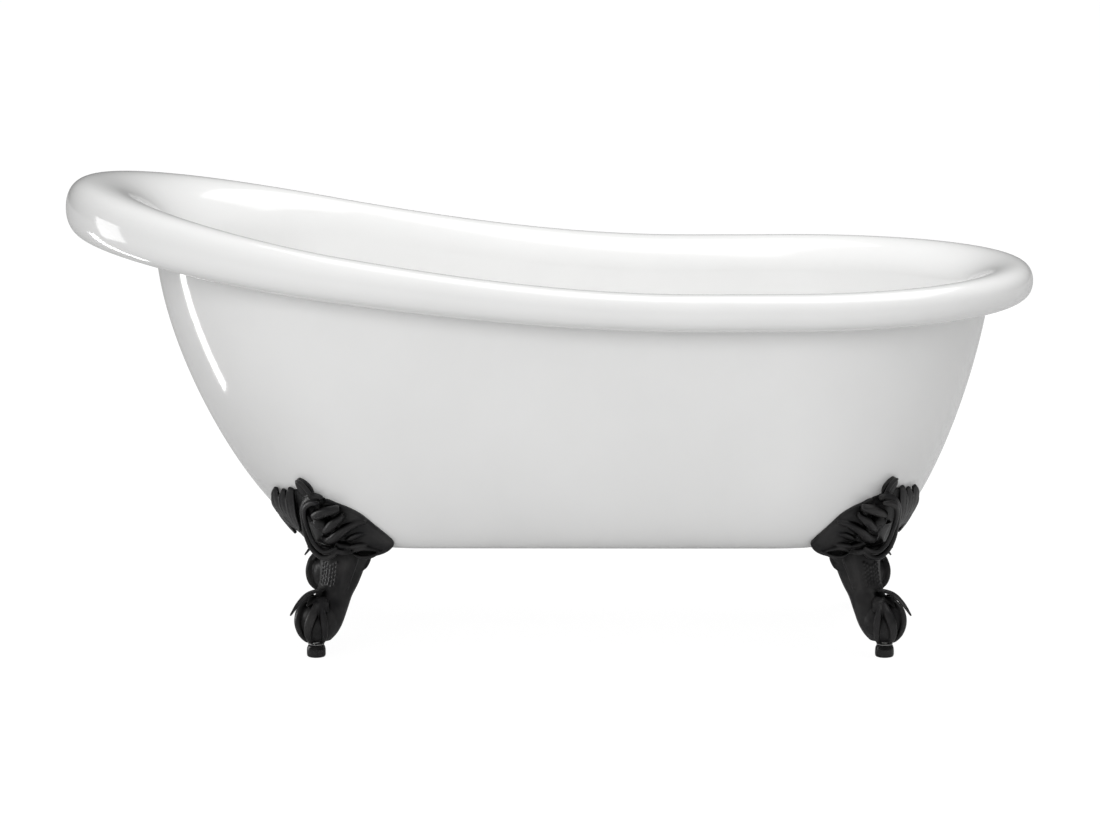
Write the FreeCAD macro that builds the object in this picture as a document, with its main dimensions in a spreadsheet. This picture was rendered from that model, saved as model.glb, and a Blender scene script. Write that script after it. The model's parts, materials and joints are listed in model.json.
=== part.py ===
"""Freestanding slipper bath on four cast claw feet.

Frame: +Z up, floor at z = 0, origin under the middle of the bath. The head end, which rises, is at -X,
the tap end at +X, and the bath is the same on both sides of the XZ plane. Lengths are in millimetres.
"""
import FreeCAD, Part
import math
import os
import Sketcher
from FreeCAD import Placement, Rotation, Vector

DRIVING = [
    # the bath in plan, at the outer edge of the rolled rim
    ("bath_length", 1550, "over the rolled rim"),
    ("bath_width", 730, "over the rolled rim"),
    ("rim_head_run", 435, "length of the rounded head end"),
    ("rim_tap_run", 392, "length of the rounded tap end"),
    # the rim's crest line and its roll
    ("rim_low", 601, "height of the crest along the low side"),
    ("rim_head", 741, "height of the crest at the head end"),
    ("rim_tap_lift", 6, "extra height of the crest at the tap end"),
    ("rise_start", 227, "x where the crest starts to climb"),
    ("rise_wave", 1489, "length of the full S that the crest follows"),
    ("roll_width_low", 62, "roll width along the low side"),
    ("roll_width_head", 81, "roll width at the head end"),
    ("roll_height_low", 58, "roll height along the low side"),
    ("roll_height_head", 91, "roll height at the head end"),
    # the outer skin
    ("base_height", 175, "underside of the bath above the floor"),
    ("base_head_reach", 384, "flat underside, from the middle to its head end"),
    ("base_tap_reach", 540, "flat underside, from the middle to its tap end"),
    ("base_half_width", 200, "flat underside, half its width"),
    ("base_end_run", 186, "length of the flat underside's rounded ends"),
    ("overhang_head", 143, "rim beyond the skin at the head end"),
    ("overhang_tap", 71, "rim beyond the skin at the tap end"),
    ("overhang_side", 63, "rim beyond the skin at the sides"),
    ("skin_wall", 5, "thickness of the outer skin"),
    ("liner_wall", 5, "thickness of the inner moulding"),
    ("board_thick", 24, "reinforcing board between the two floors"),
    ("board_margin", 4, "board's edge inside the flat underside's"),
    ("basin_inset_floor", 42, "basin floor's edge inside the skin's"),
    ("basin_inset_top", 28, "basin wall inside the skin under the rim"),
    ("overflow_room", 10, "extra inset at the tap end, for the overflow pipe"),
    ("lip_gap", 0.4, "joint between the rim's lip and the skin"),
    ("skin_tuck", 18, "skin's top edge above the lip, inside the roll"),
    ("bond_width", 7, "bead of resin between skin and lip"),
    # feet and levellers
    ("foot_head_in", 13, "leveller axis inside the flat underside's head end"),
    ("foot_tap_in", 9, "leveller axis inside the flat underside's tap end"),
    ("seat_gap", 0.3, "foot casting clear of the skin"),
    ("bracket_thick", 12, "leaf bracket, square to the skin"),
    ("foot_plate", 8, "thickness of the foot's bolting plate"),
    ("foot_bolt_in", 118, "bolt line inward from the leveller axis"),
    ("foot_bolt_across", 52, "distance between a foot's two bolts"),
    ("ball_height", 58, "centre of the claw's ball above the floor"),
    ("ball_radius", 35, "claw's ball"),
    ("toe_radius", 10, "thickness of a toe, on the radius"),
    ("pad_diameter", 30, "leveller pad"),
    ("pad_height", 20, "leveller pad"),
    ("collar_diameter", 26, "bright collar of the stud"),
    ("collar_height", 2, "bright collar of the stud"),
    ("stud_diameter", 10, "leveller stud"),
    ("stud_length", 48, "leveller stud above its collar"),
    ("stud_clearance", 0.05, "stud in its bores, on the radius"),
    ("screw_in", 2, "how far a leveller screws in from rest"),
    ("bolt_diameter", 8, "foot bolts"),
    ("bolt_clearance", 0.5, "foot bolts in their holes, on the radius"),
    ("bolt_head", 5.3, "height of a bolt's head"),
    ("bolt_flats", 13, "width of a bolt's head across flats"),
    ("washer_thick", 1.6, "foot washers"),
    ("washer_diameter", 16, "foot washers"),
    ("tee_flange", 22, "tee nut's flange"),
    ("tee_thick", 2, "tee nut's flange"),
    ("tee_barrel", 12, "length of a tee nut's barrel"),
    # waste
    ("waste_x", 385, "waste from the middle, towards the tap end"),
    ("waste_thread", 47.8, "outside of the waste's tail thread"),
    ("waste_bore", 40, "bore of the waste"),
    ("waste_flange", 70, "waste flange"),
    ("waste_seal", 1.5, "thickness of the seal under the flange"),
    ("back_nut", 9, "height of the waste's back nut"),
    ("back_seal", 3, "thickness of the seal above the back nut"),
    ("free_thread", 12, "thread left free below the back nut"),
    ("banjo_seal", 2, "thickness of each seal of the banjo"),
    ("banjo_diameter", 66, "banjo collar round the waste"),
    ("plug_diameter", 55, "plug cap"),
    ("plug_dome", 4, "height of the plug cap"),
    ("stem_diameter", 8, "plug stem"),
    # overflow
    ("pipe_diameter", 18, "overflow pipe"),
    ("pipe_wall", 1.5, "overflow pipe"),
    ("overflow_height", 480, "centre of the overflow above the floor"),
    ("overflow_cover", 66, "overflow cover"),
    ("overflow_bore", 30, "hole in the liner for the overflow"),
]

doc = FreeCAD.newDocument("clawfoot_bath")
sheet = doc.addObject("Spreadsheet::Sheet", "Sizes")
for row, (alias, value, meaning) in enumerate(DRIVING, start=1):
    sheet.set(f"A{row}", alias)
    sheet.set(f"B{row}", str(value))
    sheet.set(f"C{row}", meaning)
    sheet.setAlias(f"B{row}", alias)
doc.recompute()


def size(alias):
    """A driving dimension, read from the sheet."""
    return float(sheet.get(alias))


UP = Vector(0, 0, 1)
QUARTER_STEPS = 6           # stations round a quarter of each end
SIDE_STEPS = 5              # stations along each straight side
ROLL_PULL = 0.64            # Bezier handle of the roll, a little squarer than a circle's 0.55
FREE_FIT = 0.5              # clearance on the radius where a piece passes through a hole
SLIVER = 0.1                # clearance of bonded pieces
BOND_LIFT = 1.0             # bond above the lip
TEE_WALL = 1.5              # wall of a tee nut's barrel
BALL_INWARD = 9             # centre of the claw's ball, inward of the leveller

HEIGHT_FLOOR = size("base_height") + size("skin_wall") + size("board_thick") + size("liner_wall")


# ---------------------------------------------------------------- plan stations and crest line

class Plan:
    """An oval in plan: two elliptical ends joined by straight sides."""

    def __init__(self, head, tap, half_width, head_run, tap_run):
        self.head_centre = -head + head_run
        self.tap_centre = tap - tap_run
        self.half_width = half_width
        self.head_run = head_run
        self.tap_run = tap_run

    def point(self, station, height=0.0):
        angle, slide = station
        run = self.tap_run if math.cos(angle) > 0 else self.head_run
        centre = self.tap_centre + slide * (self.head_centre - self.tap_centre)
        return Vector(centre + run * math.cos(angle), self.half_width * math.sin(angle), height)

    def outward(self, station):
        angle, _ = station
        run = self.tap_run if math.cos(angle) > 0 else self.head_run
        return Vector(math.cos(angle) / run, math.sin(angle) / self.half_width, 0).normalize()


def plan_stations():
    """Pairs of end angle and place along the side, once round the bath from the tap end."""
    quarter = [math.radians(90) * i / QUARTER_STEPS for i in range(QUARTER_STEPS)]
    side = [i / SIDE_STEPS for i in range(SIDE_STEPS)]
    stations = [(a, 0.0) for a in quarter]
    stations += [(math.pi / 2, s) for s in side]
    stations += [(a + math.pi / 2, 1.0) for a in quarter]
    stations += [(a + math.pi, 1.0) for a in quarter]
    stations += [(3 * math.pi / 2, 1.0 - s) for s in side]
    stations += [(a + 3 * math.pi / 2, 0.0) for a in quarter]
    return stations


STATIONS = plan_stations()
HALF_LENGTH = size("bath_length") / 2
HALF_WIDTH = size("bath_width") / 2
RIM_PLAN = Plan(HALF_LENGTH, HALF_LENGTH, HALF_WIDTH, size("rim_head_run"), size("rim_tap_run"))
SKIN_TOP_PLAN = Plan(HALF_LENGTH - size("overhang_head"), HALF_LENGTH - size("overhang_tap"),
                     HALF_WIDTH - size("overhang_side"),
                     size("rim_head_run") - size("overhang_head"),
                     size("rim_tap_run") - size("overhang_tap"))
BASE_PLAN = Plan(size("base_head_reach"), size("base_tap_reach"), size("base_half_width"),
                 size("base_end_run"), size("base_end_run"))


def climb(x):
    """Share of the crest's climb at x: 0 along the low side, 1 at the head end."""
    def wave(at):
        turn = min(max((size("rise_start") - at) / size("rise_wave"), 0.0), 1.0)
        return 0.9 * turn ** 2 * (3 - 2 * turn) + 0.1 * turn ** 2
    return wave(x) / wave(-HALF_LENGTH)


def between(low, head, x):
    """A size that grows from its low-side value to its head-end value as the crest climbs."""
    return size(low) + (size(head) - size(low)) * climb(x)


def crest_height(x):
    tap_share = max((x - size("rise_start")) / (HALF_LENGTH - size("rise_start")), 0.0)
    return between("rim_low", "rim_head", x) + size("rim_tap_lift") * tap_share ** 2


def lip_height(x):
    """Underside of the roll, where the skin disappears behind it."""
    return crest_height(x) - between("roll_height_low", "roll_height_head", x)


# ---------------------------------------------------------------- wall profiles

# Each wall leaves the floor level and ends at the rim with a lean: (floor handle, wall handle, lean).
WALL_SHAPE = {"head": (72.0, 190.0, 3.0), "side": (62.0, 150.0, 5.0), "tap": (52.0, 167.0, 9.0)}


def wall_shape(station):
    """The wall's handles and lean at a station, blended from the ends to the sides."""
    facing = RIM_PLAN.outward(station).x
    share = {"head": min(facing, 0) ** 2, "tap": max(facing, 0) ** 2}
    share["side"] = 1 - share["head"] - share["tap"]
    return [sum(share[k] * WALL_SHAPE[k][i] for k in share) for i in range(3)]


def wall_profile(station, inset_floor, inset_top, floor_height):
    """Bezier points of a wall that lies inside the skin's outer face by the given insets."""
    floor_pull, wall_pull, lean = wall_shape(station)
    foot = BASE_PLAN.point(station, size("base_height"))
    head = SKIN_TOP_PLAN.point(station)
    head.z = lip_height(head.x)
    out = Vector(head.x - foot.x, head.y - foot.y, 0).normalize()
    rise = (UP * math.cos(math.radians(lean)) + out * math.sin(math.radians(lean))).normalize()
    side = out * math.cos(math.radians(lean)) - UP * math.sin(math.radians(lean))
    bend = (head - foot).Length
    shrink = 1 - (inset_floor + inset_top) / 2 / bend
    start = foot - out * inset_floor
    start.z = floor_height
    finish = head - side * inset_top
    return [start, start + out * floor_pull * shrink, finish - rise * wall_pull * shrink, finish], rise


def skin_profile(station, offset=0.0):
    """Outer face of the skin, moved outward by offset."""
    points, rise = wall_profile(station, 0.0, -offset, size("base_height") - offset)
    return points, rise


def basin_insets(station):
    tap_share = max(RIM_PLAN.outward(station).x, 0) ** 2
    extra = size("overflow_room") * tap_share
    return size("basin_inset_floor") + extra, size("basin_inset_top") + extra


# ---------------------------------------------------------------- surfaces through loops

def loop_parameters():
    """Chord lengths round the rim, shared by every loop so that their surfaces match."""
    rim = [RIM_PLAN.point(s) for s in STATIONS]
    lengths = [0.0]
    for i, point in enumerate(rim):
        lengths.append(lengths[-1] + (rim[(i + 1) % len(rim)] - point).Length)
    return lengths


LOOP_PARAMETERS = loop_parameters()


def loop_curve(points):
    """Closed smooth curve through one point per station."""
    curve = Part.BSplineCurve()
    curve.interpolate(Points=points, PeriodicFlag=True, Parameters=LOOP_PARAMETERS)
    return curve


def band(columns):
    """Face round the bath whose section at each station is the Bezier through that column."""
    curves = [loop_curve([column[k] for column in columns]) for k in range(len(columns[0]))]
    poles = list(zip(*[c.getPoles() for c in curves]))
    knots = curves[0].getKnots()
    degree = len(curves) - 1
    surface = Part.BSplineSurface()
    surface.buildFromPolesMultsKnots([list(row) for row in poles], curves[0].getMultiplicities(),
                                     [degree + 1] * 2, knots, [0.0, 1.0], True, False, 3, degree)
    return Part.Face(surface)


def disc(points):
    """Flat face inside a level loop."""
    return Part.Face(Part.Wire(loop_curve(points).toShape()))


def closed_solid(faces):
    """Sews the faces of one closed skin into a solid that has a positive volume."""
    shell = Part.Shell(faces)
    shell.sewShape()
    solid = Part.Solid(Part.Shell(shell.Faces))
    if solid.Volume < 0:
        solid.reverse()
    return solid


def ends(columns_a, columns_b, index_a, index_b):
    """Straight band from one set of columns to another."""
    return band([[a[index_a], b[index_b]] for a, b in zip(columns_a, columns_b)])


def hull_block(offset, top=900.0):
    """The whole volume inside the skin's outer face moved outward by offset, closed above the rim."""
    wall = [skin_profile(s, offset)[0] for s in STATIONS]
    upper = [Vector(c[3].x, c[3].y, top) for c in wall]
    faces = [band(wall), band([[c[3], u] for c, u in zip(wall, upper)])]
    faces += [disc([c[0] for c in wall]), disc(upper)]
    return closed_solid(faces)


def outer_skin_shape():
    wall = size("skin_wall")
    tuck = size("skin_tuck")
    outer = [skin_profile(s) for s in STATIONS]
    inner = [skin_profile(s, -wall) for s in STATIONS]
    outer_wall = [c for c, _ in outer]
    inner_wall = [c for c, _ in inner]
    outer_top = [[c[3], c[3] + rise * tuck] for c, rise in outer]
    inner_top = [[c[3], c[3] + rise * tuck] for c, rise in inner]
    faces = [band(outer_wall), band(outer_top), ends(outer_top, inner_top, 1, 1), band(inner_top),
             band(inner_wall), disc([c[0] for c in outer_wall]), disc([c[0] for c in inner_wall])]
    return closed_solid(faces)


def roll_quarter(start, corner, finish):
    """Bezier points of a quarter of the roll, which turns at the corner of its box."""
    return [start, start + (corner - start) * ROLL_PULL, finish + (corner - finish) * ROLL_PULL, finish]


def liner_columns(station, inset):
    """Sections of the liner at a station: wall, flare, the roll's two quarters and its underside.

    inset is 0 on the face that shows and the wall's thickness on the hidden one.
    """
    floor_in, top_in = basin_insets(station)
    wall, rise = wall_profile(station, floor_in, top_in - inset, HEIGHT_FLOOR - inset)
    edge = RIM_PLAN.point(station)
    out = RIM_PLAN.outward(station)
    width = between("roll_width_low", "roll_width_head", edge.x)
    height = between("roll_height_low", "roll_height_head", edge.x)
    middle = edge - out * (width / 2) + UP * (crest_height(edge.x) - height / 2)
    crest = middle + UP * (height / 2 - inset)
    side = middle + out * (width / 2 - inset)
    under = middle - UP * (height / 2 - inset)
    flare_pull = (crest - wall[3]).Length / 3
    flare = [wall[3], wall[3] + rise * flare_pull, crest - out * flare_pull, crest]
    skin_edge, rise = skin_profile(station, size("lip_gap"))
    lip = skin_edge[3] + rise * inset
    return {"wall": wall, "flare": flare,
            "upper": roll_quarter(crest, crest + side - middle, side),
            "lower": roll_quarter(side, under + side - middle, under),
            "under": [under, under - out * ((under - lip).Length / 3),
                      lip + (under - lip) * 0.3333, lip]}


def liner_shape():
    show = [liner_columns(s, 0.0) for s in STATIONS]
    hide = [liner_columns(s, size("liner_wall")) for s in STATIONS]
    faces = []
    for part in ("wall", "flare", "upper", "lower", "under"):
        faces.append(band([c[part] for c in show]))
        faces.append(band([c[part] for c in hide]))
    faces.append(band([[a["under"][3], b["under"][3]] for a, b in zip(show, hide)]))
    faces.append(disc([c["wall"][0] for c in show]))
    faces.append(disc([c["wall"][0] for c in hide]))
    return closed_solid(faces)


# ---------------------------------------------------------------- objects of the document

SUB_PARTS = []


def keep(thing, label):
    """Marks a document object as a sub-part, whose label names its file."""
    thing.Label = label
    SUB_PARTS.append(thing)
    return thing


def freeform(label, shape):
    feature = doc.addObject("Part::Feature", label)
    feature.Shape = shape
    return keep(feature, label)


def place(thing, x="0", y="0", z="0"):
    """Ties an object's position to the sheet."""
    for axis, expression in (("x", x), ("y", y), ("z", z)):
        thing.setExpression(f".Placement.Base.{axis}", expression)


def primitive(kind, name, at=("0", "0", "0"), **sizes):
    """A Part primitive whose sizes and place are expressions of the sheet."""
    solid = doc.addObject(f"Part::{kind}", name)
    for field, expression in sizes.items():
        solid.setExpression(field, expression)
    place(solid, *at)
    return solid


def joined(name, *solids):
    fuse = doc.addObject("Part::MultiFuse", name)
    fuse.Shapes = list(solids)
    return fuse


def cut(name, base, tool):
    result = doc.addObject("Part::Cut", name)
    result.Base = base
    result.Tool = tool
    return result


def origin_feature(body, role):
    return next(f for f in body.Origin.OriginFeatures if f.Role == role)


def bound_outline(body, corners, role="XZ_Plane"):
    """Sketch of a closed outline whose corners are pairs of expressions of the sheet."""
    sketch = body.newObject("Sketcher::SketchObject", "Outline")
    sketch.AttachmentSupport = [(origin_feature(body, role), "")]
    sketch.MapMode = "FlatFace"
    spots = [Vector(sketch.evalExpression(x), sketch.evalExpression(y), 0) for x, y in corners]
    for i, spot in enumerate(spots):
        sketch.addGeometry(Part.LineSegment(spot, spots[(i + 1) % len(spots)]), False)
    for i in range(len(spots)):
        sketch.addConstraint(Sketcher.Constraint("Coincident", i, 2, (i + 1) % len(spots), 1))
    for i, (x, y) in enumerate(corners):
        for kind, name, expression, number in (("DistanceX", f"x{i}", x, spots[i].x),
                                               ("DistanceY", f"y{i}", y, spots[i].y)):
            index = sketch.addConstraint(Sketcher.Constraint(kind, -1, 1, i, 1, number))
            sketch.renameConstraint(index, name)
            sketch.setExpression(f"Constraints.{name}", expression)
    return sketch


def turned(label, corners, at=("0", "0", "0")):
    """A turned piece: corners are (radius, height) expressions round its section."""
    body = doc.addObject("PartDesign::Body", label)
    sketch = bound_outline(body, corners)
    turn = body.newObject("PartDesign::Revolution", "Turn")
    turn.Profile = sketch
    turn.ReferenceAxis = (sketch, ["V_Axis"])
    turn.Angle = 360
    sketch.Visibility = False
    place(body, *at)
    return keep(body, label)


def ring(label, inner, outer, low, high, at=("0", "0", "0")):
    return turned(label, [(inner, low), (outer, low), (outer, high), (inner, high)], at)


# Heights of the stack that the waste and the foot bolts pass through.
BASE = "Sizes.base_height"
BOARD_LOW = f"({BASE} + Sizes.skin_wall)"
BOARD_TOP = f"({BOARD_LOW} + Sizes.board_thick)"
FLOOR = f"({BOARD_TOP} + Sizes.liner_wall)"
PLATE_TOP = f"({BASE} - Sizes.seat_gap)"
PLATE_LOW = f"({PLATE_TOP} - Sizes.foot_plate)"

# Each foot's name and the signs of its X and Y.
FEET = [("head_right", -1, -1), ("head_left", -1, 1), ("tap_right", 1, -1), ("tap_left", 1, 1)]


def foot_axis(end_sign, side_sign):
    """Expressions of a leveller axis's X and Y."""
    end = "head" if end_sign < 0 else "tap"
    reach = f"(Sizes.base_{end}_reach - Sizes.foot_{end}_in)"
    return f"{end_sign} * {reach}", f"{side_sign} * Sizes.base_half_width"


def bolt_places(end_sign, side_sign):
    """Expressions of a foot's two bolt axes, either side of its inward diagonal."""
    x, y = foot_axis(end_sign, side_sign)
    places = []
    for hand in (-1, 1):
        across = f"{hand} * Sizes.foot_bolt_across / 2"
        places.append((f"{x} - {end_sign} * (Sizes.foot_bolt_in + {across}) * cos(45 deg)",
                       f"{y} - {side_sign} * (Sizes.foot_bolt_in - {across}) * cos(45 deg)"))
    return places


# ---------------------------------------------------------------- the bath

def overflow_seat():
    """Where the overflow meets the basin wall, and the directions into the basin and up the wall."""
    station = (0.0, 0.0)
    profile = Part.BezierCurve()
    profile.setPoles(wall_profile(station, *basin_insets(station), HEIGHT_FLOOR)[0])
    low, high = 0.0, 1.0
    for _ in range(40):
        middle = (low + high) / 2
        if profile.value(middle).z < size("overflow_height"):
            low = middle
        else:
            high = middle
    along = profile.tangent(low)[0]
    return profile.value(low), Vector(-along.z, 0, along.x), along


OVERFLOW_AT, OVERFLOW_IN, OVERFLOW_UP = overflow_seat()


def waste_hole(margin, low, high):
    """Cutter for a hole round the waste's tail."""
    radius = size("waste_thread") / 2 + margin
    return Part.makeCylinder(radius, high - low, Vector(size("waste_x"), 0, low))


def bolt_spots():
    """Plan positions of all the foot bolts."""
    spots = []
    for _, end_sign, side_sign in FEET:
        for x, y in bolt_places(end_sign, side_sign):
            spots.append(Vector(sheet.evalExpression(x), sheet.evalExpression(y), 0))
    return spots


def bath():
    """The two mouldings, the board between their floors and the bond between their rims."""
    low = size("base_height")
    board_low = low + size("skin_wall")
    board_top = board_low + size("board_thick")
    bolt_radius = size("bolt_diameter") / 2 + size("bolt_clearance")
    liner = liner_shape().cut(waste_hole(FREE_FIT, board_top - 1, HEIGHT_FLOOR + 1))
    bore_radius = size("overflow_bore") / 2 + FREE_FIT
    bore = Part.makeCylinder(bore_radius, 60, OVERFLOW_AT - OVERFLOW_IN * 30, OVERFLOW_IN)
    freeform("bath_liner", liner.cut(bore))

    skin = outer_skin_shape().cut(waste_hole(FREE_FIT, low - 1, board_low + 1))
    board = base_block(board_low, board_top)
    board = board.cut(waste_hole(size("banjo_diameter") / 2 + 1 - size("waste_thread") / 2,
                                 board_low - 1, board_top + 1))
    board = board.cut(pipe_slot(board_low, board_top))
    for spot in bolt_spots():
        skin = skin.cut(Part.makeCylinder(bolt_radius, size("skin_wall") + 2, spot + UP * (low - 1)))
        barrel = Part.makeCylinder(TEE_WALL + bolt_radius + FREE_FIT, size("board_thick") + 2,
                                   spot + UP * (board_low - 1))
        flange = Part.makeCylinder(size("tee_flange") / 2 + FREE_FIT, size("tee_thick") + 1,
                                   spot + UP * (board_top - size("tee_thick")))
        board = board.cut(barrel.fuse(flange))
    freeform("outer_skin", skin)
    freeform("base_board", board)
    freeform("rim_bond", bond_shape())


def base_block(low, high):
    """Upright block just inside the outline of the flat underside."""
    margin = size("board_margin")
    plan = Plan(size("base_head_reach") - margin, size("base_tap_reach") - margin,
                size("base_half_width") - margin, size("base_end_run") - margin,
                size("base_end_run") - margin)
    lower = [plan.point(s, low) for s in STATIONS]
    upper = [plan.point(s, high) for s in STATIONS]
    side = band([[a, b] for a, b in zip(lower, upper)])
    return closed_solid([side, disc(lower), disc(upper)])


def pipe_slot(low, high):
    """Slot in the board for the overflow pipe, from the waste to the board's tap end."""
    width = size("pipe_diameter") + 6
    reach = size("base_tap_reach") - size("waste_x")
    return Part.makeBox(reach, width, high - low + 2, Vector(size("waste_x"), -width / 2, low - 1))


def bond_shape():
    """Bead that fills the corner between the skin's top edge and the lip, inside the roll."""
    width = size("bond_width")
    rings = [[], [], [], []]
    for station in STATIONS:
        points, rise = skin_profile(station, SLIVER)
        underside = liner_columns(station, size("liner_wall"))["under"]
        along = (underside[0] - underside[3]).normalize()
        corner = points[3] + rise * (size("liner_wall") + BOND_LIFT)
        rings[0].append(corner)
        rings[1].append(corner + along * width)
        rings[2].append(corner + along * width + rise * width)
        rings[3].append(corner + rise * width)
    faces = [band([[a, b] for a, b in zip(rings[i], rings[(i + 1) % 4])]) for i in range(4)]
    return closed_solid(faces)


bath()


# ---------------------------------------------------------------- feet

# The foot's own frame: origin on the floor under the leveller, x inward along the foot's diagonal,
# y towards the end of the bath. Leg sections: height, inward, half depth, half breadth.
LEG = [(72, 25, 33, 30), (92, 37, 33, 27), (110, 48, 37, 27), (132, 56, 41, 30), (157, 61, 45, 34),
       (185, 50, 44, 38), (214, 26, 36, 35)]
# Outline of the leaf bracket seen along the diagonal, across and height: a fan of lobes towards the
# end of the bath, an ear over the leg, and one long pointed leaf along the side.
LEAF = [(88, 196), (118, 221), (108, 240), (93, 250), (86, 262), (66, 271), (48, 268), (30, 274), (16, 286),
        (5, 291), (-6, 280), (-14, 268), (-34, 258), (-62, 248), (-82, 228), (-97, 203), (-101, 186),
        (-84, 172), (-48, 165), (0, 160), (45, 172)]
# The C scroll and its volute lie on the leaf and lean back with the skin behind it.
SKIN_LEAN = 36
SCROLL_AT = Vector(2, -4, 202)
SCROLL_RADIUS = 40
SCROLL_ROD = 7
SCROLL_START = -118
SCROLL_SWEEP = 180
VOLUTE_AT = Vector(0, -8, 226)
VOLUTE_RADIUS = 21
# Toes over the ball, turned from the outward direction, and the slender spur over them.
TOE_TURNS = (-49, 0, 49)
SPUR_FROM = Vector(11, 0, 105)
SPUR_TO = Vector(-52, 0, 74)
SPUR_RADII = (5, 1.5)
PLATE_ROUND = 16


def leg_shape():
    """Cast leg: smooth through its level elliptical sections."""
    sections = []
    for height, inward, depth, breadth in LEG:
        centre = Vector(inward, 0, height)
        oval = Part.Ellipse(centre + Vector(depth, 0, 0), centre + Vector(0, breadth, 0), centre)
        sections.append(Part.Wire(oval.toShape()))
    return Part.makeLoft(sections, True)


def toe_shape(turn):
    """One toe: an arc over the ball, from the ankle to the claw under it."""
    toe = Part.makeTorus(size("ball_radius") - 1, size("toe_radius"), Vector(), UP, -180, 180, 170)
    toe.rotate(Vector(), Vector(1, 0, 0), 90)
    toe.rotate(Vector(), Vector(0, 1, 0), -95)
    toe.rotate(Vector(), UP, turn)
    toe.translate(Vector(BALL_INWARD, 0, size("ball_height")))
    return toe


def scroll_shape():
    """C-shaped rim round the volute, lying on the leaf."""
    lean = math.radians(SKIN_LEAN)
    across = Vector(0, 1, 0)
    climb_way = Vector(-math.sin(lean), 0, math.cos(lean))
    rim = Part.makeTorus(SCROLL_RADIUS, SCROLL_ROD, Vector(), UP, -180, 180, SCROLL_SWEEP)
    rim.rotate(Vector(), UP, SCROLL_START)
    ends_of_rim = []
    for turn in (SCROLL_START, SCROLL_START + SCROLL_SWEEP):
        spot = Vector(SCROLL_RADIUS * math.cos(math.radians(turn)),
                      SCROLL_RADIUS * math.sin(math.radians(turn)), 0)
        ends_of_rim.append(Part.makeSphere(SCROLL_ROD, spot))
    rim = rim.multiFuse(ends_of_rim)
    turned_way = Rotation(across, climb_way, across.cross(climb_way), "ZXY")
    rim.Placement = Placement(SCROLL_AT, turned_way).multiply(rim.Placement)
    return rim


def plate_shape():
    """Plate under the bath, with a hole for each bolt."""
    low = size("base_height") - size("seat_gap") - size("foot_plate")
    thick = size("foot_plate")
    bolt_in = size("foot_bolt_in")
    half = size("foot_bolt_across") / 2
    hole = size("bolt_diameter") / 2 + size("bolt_clearance")
    plate = Part.makeBox(bolt_in - 20, 2 * (half + PLATE_ROUND), thick, Vector(20, -half - PLATE_ROUND, low))
    plate = plate.fuse(Part.makeBox(bolt_in + PLATE_ROUND - 20, 2 * half, thick, Vector(20, -half, low)))
    for across in (-half, half):
        spot = Vector(bolt_in, across, low)
        plate = plate.fuse(Part.makeCylinder(PLATE_ROUND, thick, spot))
    for across in (-half, half):
        spot = Vector(bolt_in, across, low - 1)
        plate = plate.cut(Part.makeCylinder(hole, thick + 2, spot))
    return plate.removeSplitter()


def leaf_prism():
    """The leaf's outline, swept along the foot's diagonal through the skin."""
    outline = Part.BSplineCurve()
    outline.interpolate(Points=[Vector(-90, across, height) for across, height in LEAF], PeriodicFlag=True)
    return Part.Face(Part.Wire(outline.toShape())).extrude(Vector(230, 0, 0))


def foot_shape(end_sign):
    """Casting for the right-hand side of one end, seated on the skin there."""
    spur = Part.makeCone(*SPUR_RADII, (SPUR_TO - SPUR_FROM).Length, SPUR_FROM, SPUR_TO - SPUR_FROM)
    ball = Part.makeSphere(size("ball_radius"), Vector(BALL_INWARD, 0, size("ball_height")))
    volute = Part.makeSphere(VOLUTE_RADIUS, VOLUTE_AT)
    blank = leg_shape().multiFuse([ball, volute, scroll_shape(), spur] + [toe_shape(t) for t in TOE_TURNS])
    foot_low = size("pad_height") + size("collar_height") + size("screw_in") + size("seat_gap")
    bore = Part.makeCylinder(size("stud_diameter") / 2, foot_low + size("stud_length") + 8)
    blank = blank.cut(Part.makeBox(200, 200, foot_low, Vector(-100, -100, 0)).fuse(bore))
    pieces = [blank, leaf_prism(), plate_shape()]
    for piece in pieces:
        turned_way = Placement(Vector(), Rotation(UP, 45))
        piece.Placement = turned_way.multiply(piece.Placement)
    if end_sign > 0:
        pieces = [p.mirror(Vector(), Vector(1, 0, 0)) for p in pieces]
    end = "head" if end_sign < 0 else "tap"
    reach = size(f"base_{end}_reach") - size(f"foot_{end}_in")
    axis = Vector(end_sign * reach, -size("base_half_width"), 0)
    for piece in pieces:
        piece.translate(axis)
    blank, prism, plate = pieces
    bracket = prism.common(hull_block(size("bracket_thick")))
    bracket = bracket.cut(base_block(0, size("base_height")))
    casting = blank.fuse(bracket).cut(hull_block(size("seat_gap")))
    return casting.fuse(plate)


def feet():
    for end_name, end_sign in (("head", -1), ("tap", 1)):
        casting = foot_shape(end_sign)
        freeform(f"claw_foot_{end_name}_right", casting)
        freeform(f"claw_foot_{end_name}_left", casting.mirror(Vector(), Vector(0, 1, 0)))


feet()


# ---------------------------------------------------------------- levellers

SOCKET_FLOOR = 7            # thickness of the pad under the stud
EDGE = 2.5                  # worn round edge of the pad, as a chamfer


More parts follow.
